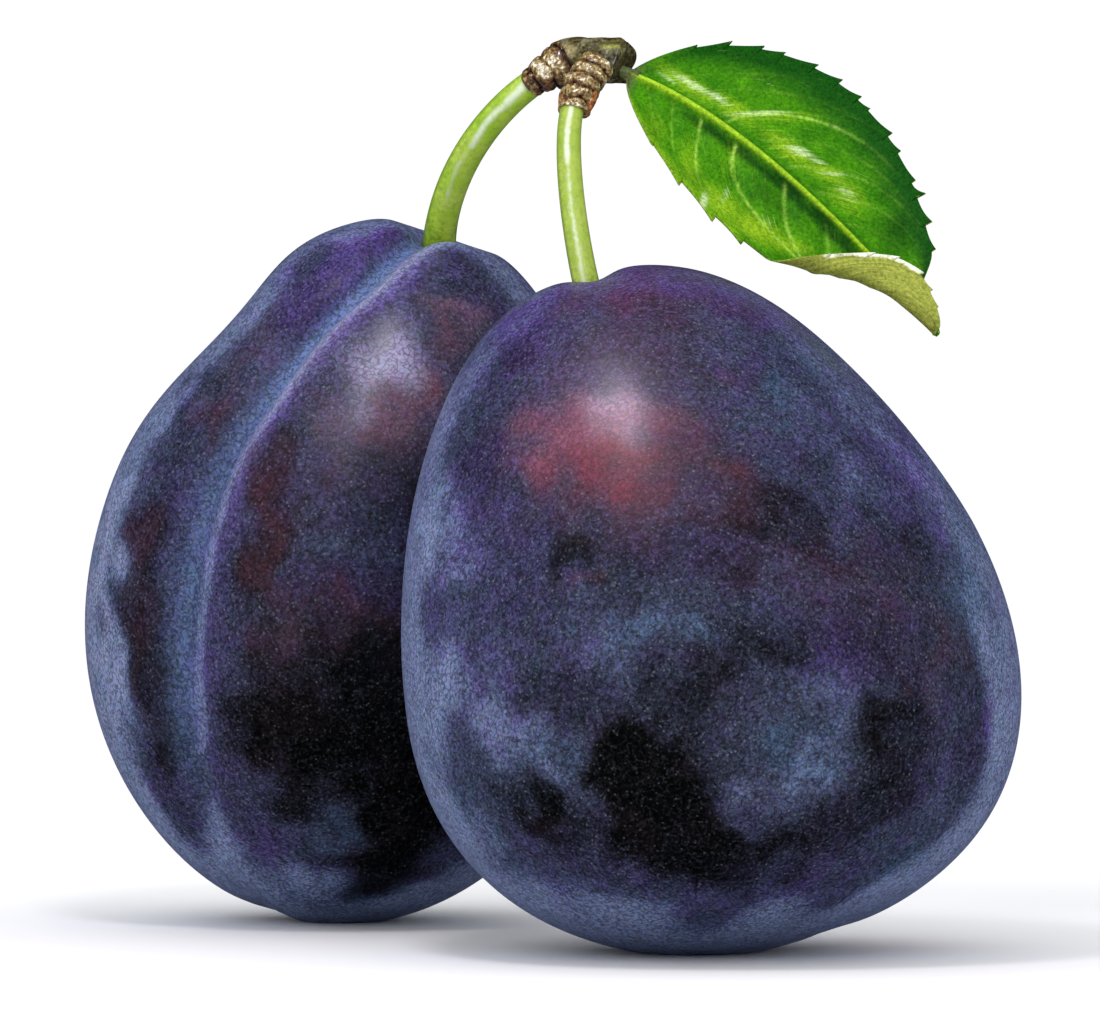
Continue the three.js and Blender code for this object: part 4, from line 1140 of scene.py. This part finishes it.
def tooth_height(u, half):
    """Height of the margin's teeth in mm: each rises with a power of the share of its length, and drops at
    once behind its tip."""
    tips, heights = np.array(half["teeth"]).T
    which = np.minimum(np.searchsorted(tips, u), len(tips) - 1)
    start = np.concatenate([[0], tips[:-1]])[which]
    share = np.clip((u - start) / (tips[which] - start), 0, 1)
    return heights[which] * share**TOOTH_POWER * (u <= tips[-1])


def blade_slope(u, s, half):
    """The sheet's slope at a distance s from the midrib, in radians, with the fold on the lower half."""
    width = blade_width(u, half)
    bent = mix(*half["slope"], smooth(s / width, 0.05, half["bent_by"]))
    if half is UPPER_HALF:
        return np.radians(bent)
    fold_at = width * mix(*FOLD_SHARES, smooth(u, FOLD_FROM, FOLD_TO))
    reach = np.pi / 2 * FOLD_RADIUS
    share = smooth(s, fold_at - reach, fold_at + reach) * smooth(width, *FOLD_WIDTHS)
    return np.radians(mix(bent, FOLD_ANGLE, share))


def half_blade(u, v, half):
    """One half's middle surface: the midrib's point, plus the sums of cosine and sine of the slope over the
    distance, sideways and towards the face. Teeth also lean forwards. Returns points and distances."""
    spike = tooth_height(u, half) * smooth(v, TOOTH_INSET, 1)
    reach = v * blade_width(u, half) + spike
    middles = (np.arange(BLADE_SLICES) + 0.5) / BLADE_SLICES
    angle = blade_slope(u[..., None], reach[..., None] * middles, half)
    out, rise = np.cos(angle).mean(axis=-1) * reach, np.sin(angle).mean(axis=-1) * reach
    way = bezier_way(MIDRIB, u)
    side = unit(np.cross(BLADE_FACING, way))
    sign = 1 if half is UPPER_HALF else -1
    along = bezier(MIDRIB, u) + way * (TOOTH_HOOK * spike)[..., None]
    return along + side * (sign * out)[..., None] + np.cross(way, side) * rise[..., None], reach


# %% Veins
def vein_distances(u, v, half):
    """For each vein, how far each point is from it in mm, and the vein's plainness. A vein's path along the
    midrib is a straight lean plus a power of the share of the half-width. The difference in u is turned
    into a distance at right angles to the path by dividing by the slope's hypotenuse."""
    for start, lean, sweep, power, plain in half["veins"]:
        path = start + lean * v + sweep * v**power
        slope = (lean + sweep * power * v ** (power - 1)) * VEIN_SCALE / half["half_width"]
        yield (u - path) * VEIN_SCALE / np.hypot(1, slope), plain


def vein_fields(u, v, half):
    """The veins' lines, as bells that narrow from the midrib out, and the wide shallow dips they lie in."""
    line, dip = np.zeros(u.shape), np.zeros(u.shape)
    fade = smooth(v, 0.03, 0.12) * (1 - smooth(v, 0.6, 0.95))
    for away, plain in vein_distances(u, v, half):
        line = np.maximum(line, plain * fade * bell(away, mix(*VEIN_WIDTHS, v)))
        dip = np.maximum(dip, (0.4 + 0.6 * plain) * fade * bell(away, VEIN_DIP))
    return line, dip


# %% [markdown]
# The blade's colour is uneven, and most of that is painted light and shade: yellow-green painted light
# where the sheet swells towards the light, pale painted glints beside the veins, and deep green painted
# shade in the hollow under the midrib and near the margin. These marks are listed in the same way as the
# fruits' marks.

# %% Marks on the leaf: across, up, half-length, half-height in mm, turn in degrees, strength
# Painted light: yellow-green where the sheet swells towards the light.
LEAF_PAINTED_LIGHT = [
    (11.4, 70.4, 3.0, 0.7, -32, 0.8), (15.1, 68.4, 2.5, 0.8, -33, 0.7), (18.4, 67.9, 3.0, 0.6, 0, 0.5),
    (19.6, 65.1, 2.8, 0.8, -36, 0.8), (22.5, 63.3, 2.3, 0.7, -28, 0.7), (24.4, 61.3, 1.8, 1.3, -40, 0.6),
    (14.0, 60.6, 2.5, 1.1, -40, 0.8), (16.9, 58.6, 2.8, 1.0, -28, 0.9), (11.4, 63.9, 1.0, 2.3, 8, 0.5),
    (8.5, 66.9, 1.2, 2.1, 25, 0.35), (19.5, 57.2, 2.0, 0.7, -14, 0.8), (14.7, 63.9, 1.2, 2.1, -10, 0.3),
]
# Painted glints: pale streaks beside the veins.
LEAF_PAINTED_GLINTS = [
    (9.6, 71.0, 1.2, 0.25, -30, 0.6), (11.6, 70.5, 2.0, 0.35, -30, 0.9), (13.7, 69.4, 1.3, 0.35, -32, 0.8),
    (17.3, 68.1, 2.5, 0.25, 3, 0.9), (20.5, 65.0, 1.3, 0.4, -20, 0.9), (21.9, 64.2, 1.0, 0.25, -15, 0.7),
    (23.4, 63.1, 1.5, 0.2, -6, 0.7), (24.3, 61.6, 1.2, 0.6, -35, 0.5), (12.5, 60.8, 0.4, 0.9, -15, 0.9),
    (14.3, 61.4, 0.4, 1.0, -20, 0.5), (17.8, 59.2, 1.2, 0.7, -40, 0.35), (23.4, 67.0, 0.7, 0.15, -20, 0.5),
    (18.0, 70.5, 1.5, 0.1, -22, 0.4), (20.5, 70.7, 1.3, 0.1, -24, 0.4), (19.6, 66.3, 1.5, 0.1, -16, 0.4),
]
# Painted shade: deep green in the hollow under the midrib and near the margin.
LEAF_PAINTED_SHADE = [
    (12.2, 67.3, 2.0, 0.5, -36, 0.5), (15.9, 64.9, 2.1, 0.7, -38, 0.8), (19.6, 62.0, 2.3, 0.7, -42, 1.0),
    (22.3, 59.5, 2.0, 0.7, -45, 1.0), (17.8, 61.3, 2.3, 1.2, -45, 0.5), (24.2, 57.7, 1.3, 0.5, -45, 0.8),
    (18.0, 72.5, 5.1, 0.7, -12, 0.8), (23.1, 70.7, 3.5, 0.8, -32, 0.8), (27.2, 66.9, 2.6, 0.9, -50, 0.7),
    (29.1, 62.6, 0.9, 3.6, 12, 0.7), (28.7, 58.7, 1.8, 2.0, 0, 0.7), (27.7, 61.2, 1.3, 2.4, 10, 0.25),
    (8.9, 72.0, 2.6, 0.7, 25, 0.4), (20.6, 59.4, 3.0, 1.2, -42, 0.25), (18.4, 65.7, 3.6, 0.3, -36, 0.35),
    (22.1, 61.8, 2.5, 0.35, -44, 0.35), (26.2, 65.1, 1.6, 1.0, -40, 0.35),
]


def painted(points, spots):
    """Soft ellipses on the blade's front view: the strongest bell of the distance from each centre."""
    across, up = seen(points)
    field = np.zeros(across.shape)
    for x, z, half_length, half_height, turn, strength in spots:
        c, s = np.cos(np.radians(turn)), np.sin(np.radians(turn))
        right, high = (across - x) * c + (up - z) * s, (up - z) * c - (across - x) * s
        field = np.maximum(field, strength * bell(np.hypot(right / half_length, high / half_height), 1))
    return field


# %% [markdown]
# The sheet becomes a solid with two faces. The upper one carries the raised midrib, the hollow beside it
# and the dips along the veins, and the lower one carries the keel under the midrib and the veins' ridges.


# %% Building the blade
def blade():
    """Two faces of one grid, apart by the thickness along the surface's own direction. Returns them with
    the grid's place along and across, the distance from the midrib, and the lines of the veins and the
    midrib."""
    u = np.linspace(0, 1, BLADE_COLUMNS)
    low_v, high_v = np.linspace(1, 0, LOWER_ROWS), np.linspace(0, 1, UPPER_ROWS)[1:]
    low_grid, high_grid = np.meshgrid(u, low_v), np.meshgrid(u, high_v)
    low, low_reach = half_blade(*low_grid, LOWER_HALF)
    high, high_reach = half_blade(*high_grid, UPPER_HALF)
    sheet, reach = np.vstack([low, high]), np.vstack([low_reach, high_reach])
    uu, vv = np.meshgrid(u, np.concatenate([-low_v, high_v]))
    pairs = zip(vein_fields(*low_grid, LOWER_HALF), vein_fields(*high_grid, UPPER_HALF))
    line, dip = [np.vstack(pair) for pair in pairs]
    face = outwards(sheet)
    half = mix(*BLADE_THICKNESS, np.abs(vv)) / 2
    rib = bell(reach, mix(*RIB_WIDTHS, uu))
    hollow = bell(reach - HOLLOW_AT, HOLLOW_WIDTH) * (1 - smooth(uu, 0.9, 1)) * smooth(uu, 0, 0.1)
    raised = RIB_HEIGHT * rib - HOLLOW_DEPTH * hollow - QUILT_DEPTH * dip
    keel = KEEL_HEIGHT * bell(reach, KEEL_WIDTH) * mix(1, 0.3, uu) + VEIN_HEIGHT * line + QUILT_DEPTH * dip
    top = sheet + face * (half + raised)[..., None]
    under = sheet - face * (half + keel)[..., None]
    return top, under, uu, vv, reach, line, rib


def slab(top, under):
    """A sealed mesh from two matching grids: the upper as it is, the lower turned over, and a wall of
    quads."""
    rows, columns = top.shape[:2]
    r, c = np.meshgrid(np.arange(rows - 1), np.arange(columns - 1), indexing="ij")
    a = (r * columns + c).ravel()
    upper = np.stack([a, a + 1, a + columns + 1, a + columns], axis=-1)
    lower = upper[:, ::-1] + rows * columns
    index = np.arange(rows * columns).reshape(rows, columns)
    rim = np.concatenate([index[0, :-1], index[:-1, -1], index[-1, :0:-1], index[:0:-1, 0]])
    after = np.roll(rim, -1)
    wall = np.stack([after, rim, rim + rows * columns, after + rows * columns], axis=-1)
    points = np.vstack([top.reshape(-1, 3), under.reshape(-1, 3)])
    return points, np.vstack([upper, lower, wall]).tolist()


# %% [markdown]
# ### The finish of the leaf
#
# The upper face has a waxy cuticle, satin and deep green, lighter along the veins. The underside is paler,
# olive and dull, and the folded margin is bleached. Fine streaks run along the side veins: their noise
# reads two fields in place of the position, the distance along the midrib less the veins' sweep, and the
# distance from the midrib, so it can be short one way and long the other.

# %% Leaf cuticle
LEAF_BLOTCH, LEAF_GRAIN, STREAK_SHORT, STREAK_LONG = 2.2, 0.28, 0.27, 4  # mm
VEIN_LEAN = 0.2  # share of the midrib by which a side vein leans, and again by which it sweeps


def leaf_cuticle():
    """Satin green above and dull olive below, with pale veins, painted lights and darks, and fine streaks."""
    names = "vein", "rib", "under", "margin", "light", "pale", "dark", "edge", "woody", "sweep", "reach"
    material, shader, node, field = new_material("plum leaf cuticle", names)
    where = node("TexCoord", {}, "Object")
    blotch = node("TexNoise", pattern(where, LEAF_BLOTCH, 4.0, 0.6))
    grain = node("TexNoise", pattern(where, LEAF_GRAIN, 2.0, 0.8))
    brushed = node("CombineXYZ", {"X": field["sweep"], "Y": field["reach"]})
    streak = node("TexNoise", {"Vector": brushed, "Scale": 1.0, "Detail": 3.0, "Roughness": 0.7})
    layers = [(blotch, 0.3, 0.7, 1, "#4c9208")]
    # Painted shade, painted shade at the upper margin, painted light and painted glints, each broken up by
    # the streaks.
    for name, broken, start, end, over in (
        ("dark", 0.5, 0.35, 1.1, "#0f4209"),
        ("edge", 0.5, 0.3, 1.05, "#0e4d08"),
        ("light", 1.3, 0.78, 1.55, "#86b01a"),
        ("pale", 1.7, 1.15, 1.95, "#c9dfa4"),
    ):
        share = node("Math", {0: streak, 1: broken, 2: field[name]}, operation="MULTIPLY_ADD")
        layers.append((share, start, end, 1, over))
    limits = {"From Min": 0.38, "From Max": 0.6, "To Min": 0.25, "To Max": 0.85}
    faint = node("MapRange", {"Value": blotch, **limits})
    vein = node("Math", {0: field["vein"], 1: faint}, operation="MULTIPLY")
    bleached = node("Math", {0: blotch, 1: 1.8, 2: field["margin"]}, operation="MULTIPLY_ADD")
    olive = layered(node, "#7c8630", (streak, 0.35, 0.65, 1, "#b0b854"))
    layers += [
        (vein, 0, 1, 1, "#a6d050"),
        (field["rib"], 0, 1, 1, "#a2cb2a"),
        (field["under"], 0, 1, 1, olive),
        (bleached, 1.45, 1.9, 1, "#eef2da"),  # the folded margin
        (field["woody"], 0, 1, 1, "#55583a"),  # the leaf stalk
    ]
    leaf = layered(node, "#2a6e05", *layers)
    leaf = shaded(node, leaf, grain, (0.3, 0.7), (0.6, 1.4))
    bump = node("Bump", {"Strength": 0.12, "Distance": 0.0001, "Height": streak})
    roughness = node("MapRange", {"Value": field["under"], "To Min": 0.5, "To Max": 0.65})
    fill(shader, {"Base Color": leaf, "Roughness": roughness, "Normal": bump, "IOR": 1.4})
    fill(shader, {"Specular IOR Level": 0.08})
    return material


def make_leaf():
    """Blade and leaf stalk as one mesh, with the fields of its finish, each for the upper and the lower
    face."""
    top, under, u, v, reach, vein, rib = blade()
    points, faces = slab(top, under)

    def radius_at(t, angle):
        return mix(*PETIOLE_RADIUS, t) + 0 * angle

    stalk_points, stalk_faces, t, _ = stem(PETIOLE, radius_at, PETIOLE_ROWS, PETIOLE_COLUMNS)
    share, zero = np.abs(v), np.zeros(u.shape)
    above, below = v > 0, v <= 0
    # Painted shade in the hollow under the midrib, and a little above it.
    hollow = below * bell(reach - 0.9, 0.6) * smooth(u, 0.1, 0.3) + above * bell(reach - 0.6, 0.25) * 0.35
    # Painted light towards the lower margin, in the half nearer the stalk.
    lower_painted_light = below * smooth(share, 0.75, 0.98) * (1 - smooth(u, 0.5, 0.6)) * 0.5
    # Painted shade towards the upper margin.
    edge = above * smooth(share, 0.52, 0.94) * smooth(u, 0.02, 0.15) * 0.82
    margin = smooth(share, 0.86, 0.97) * smooth(u, 0.66, 0.74) * (1 - smooth(u, 0.86, 0.9)) * below
    woody = 0.9 * (1 - smooth(u, 0, 0.05))
    sweep = (u - VEIN_LEAN * share - VEIN_LEAN * share**3) * VEIN_SCALE / STREAK_SHORT
    faces_of = {
        "vein": (vein, 0.3 * vein),
        "rib": (0.9 * rib, 0.3 * rib),
        "under": (zero, zero + 1),
        "margin": (margin, margin),
        "light": (np.maximum(painted(top, LEAF_PAINTED_LIGHT), lower_painted_light), zero),
        "pale": (painted(top, LEAF_PAINTED_GLINTS), zero),
        "dark": (np.maximum(painted(top, LEAF_PAINTED_SHADE), hollow * 0.8), zero),
        "edge": (edge, zero),
        "woody": (woody, woody),
        "sweep": (sweep, sweep),
        "reach": (reach / STREAK_LONG, reach / STREAK_LONG),
    }
    fields = {}
    for key, (upper, lower) in faces_of.items():
        leaf_stalk = (0.9 if key == "woody" else 0) + 0 * t
        fields[key] = np.concatenate([upper.ravel(), lower.ravel(), leaf_stalk])
    whole = joined((points, faces), (stalk_points, stalk_faces))
    make_piece("leaf", *whole, "leaf", "blade", leaf_cuticle(), fields)


make_leaf()
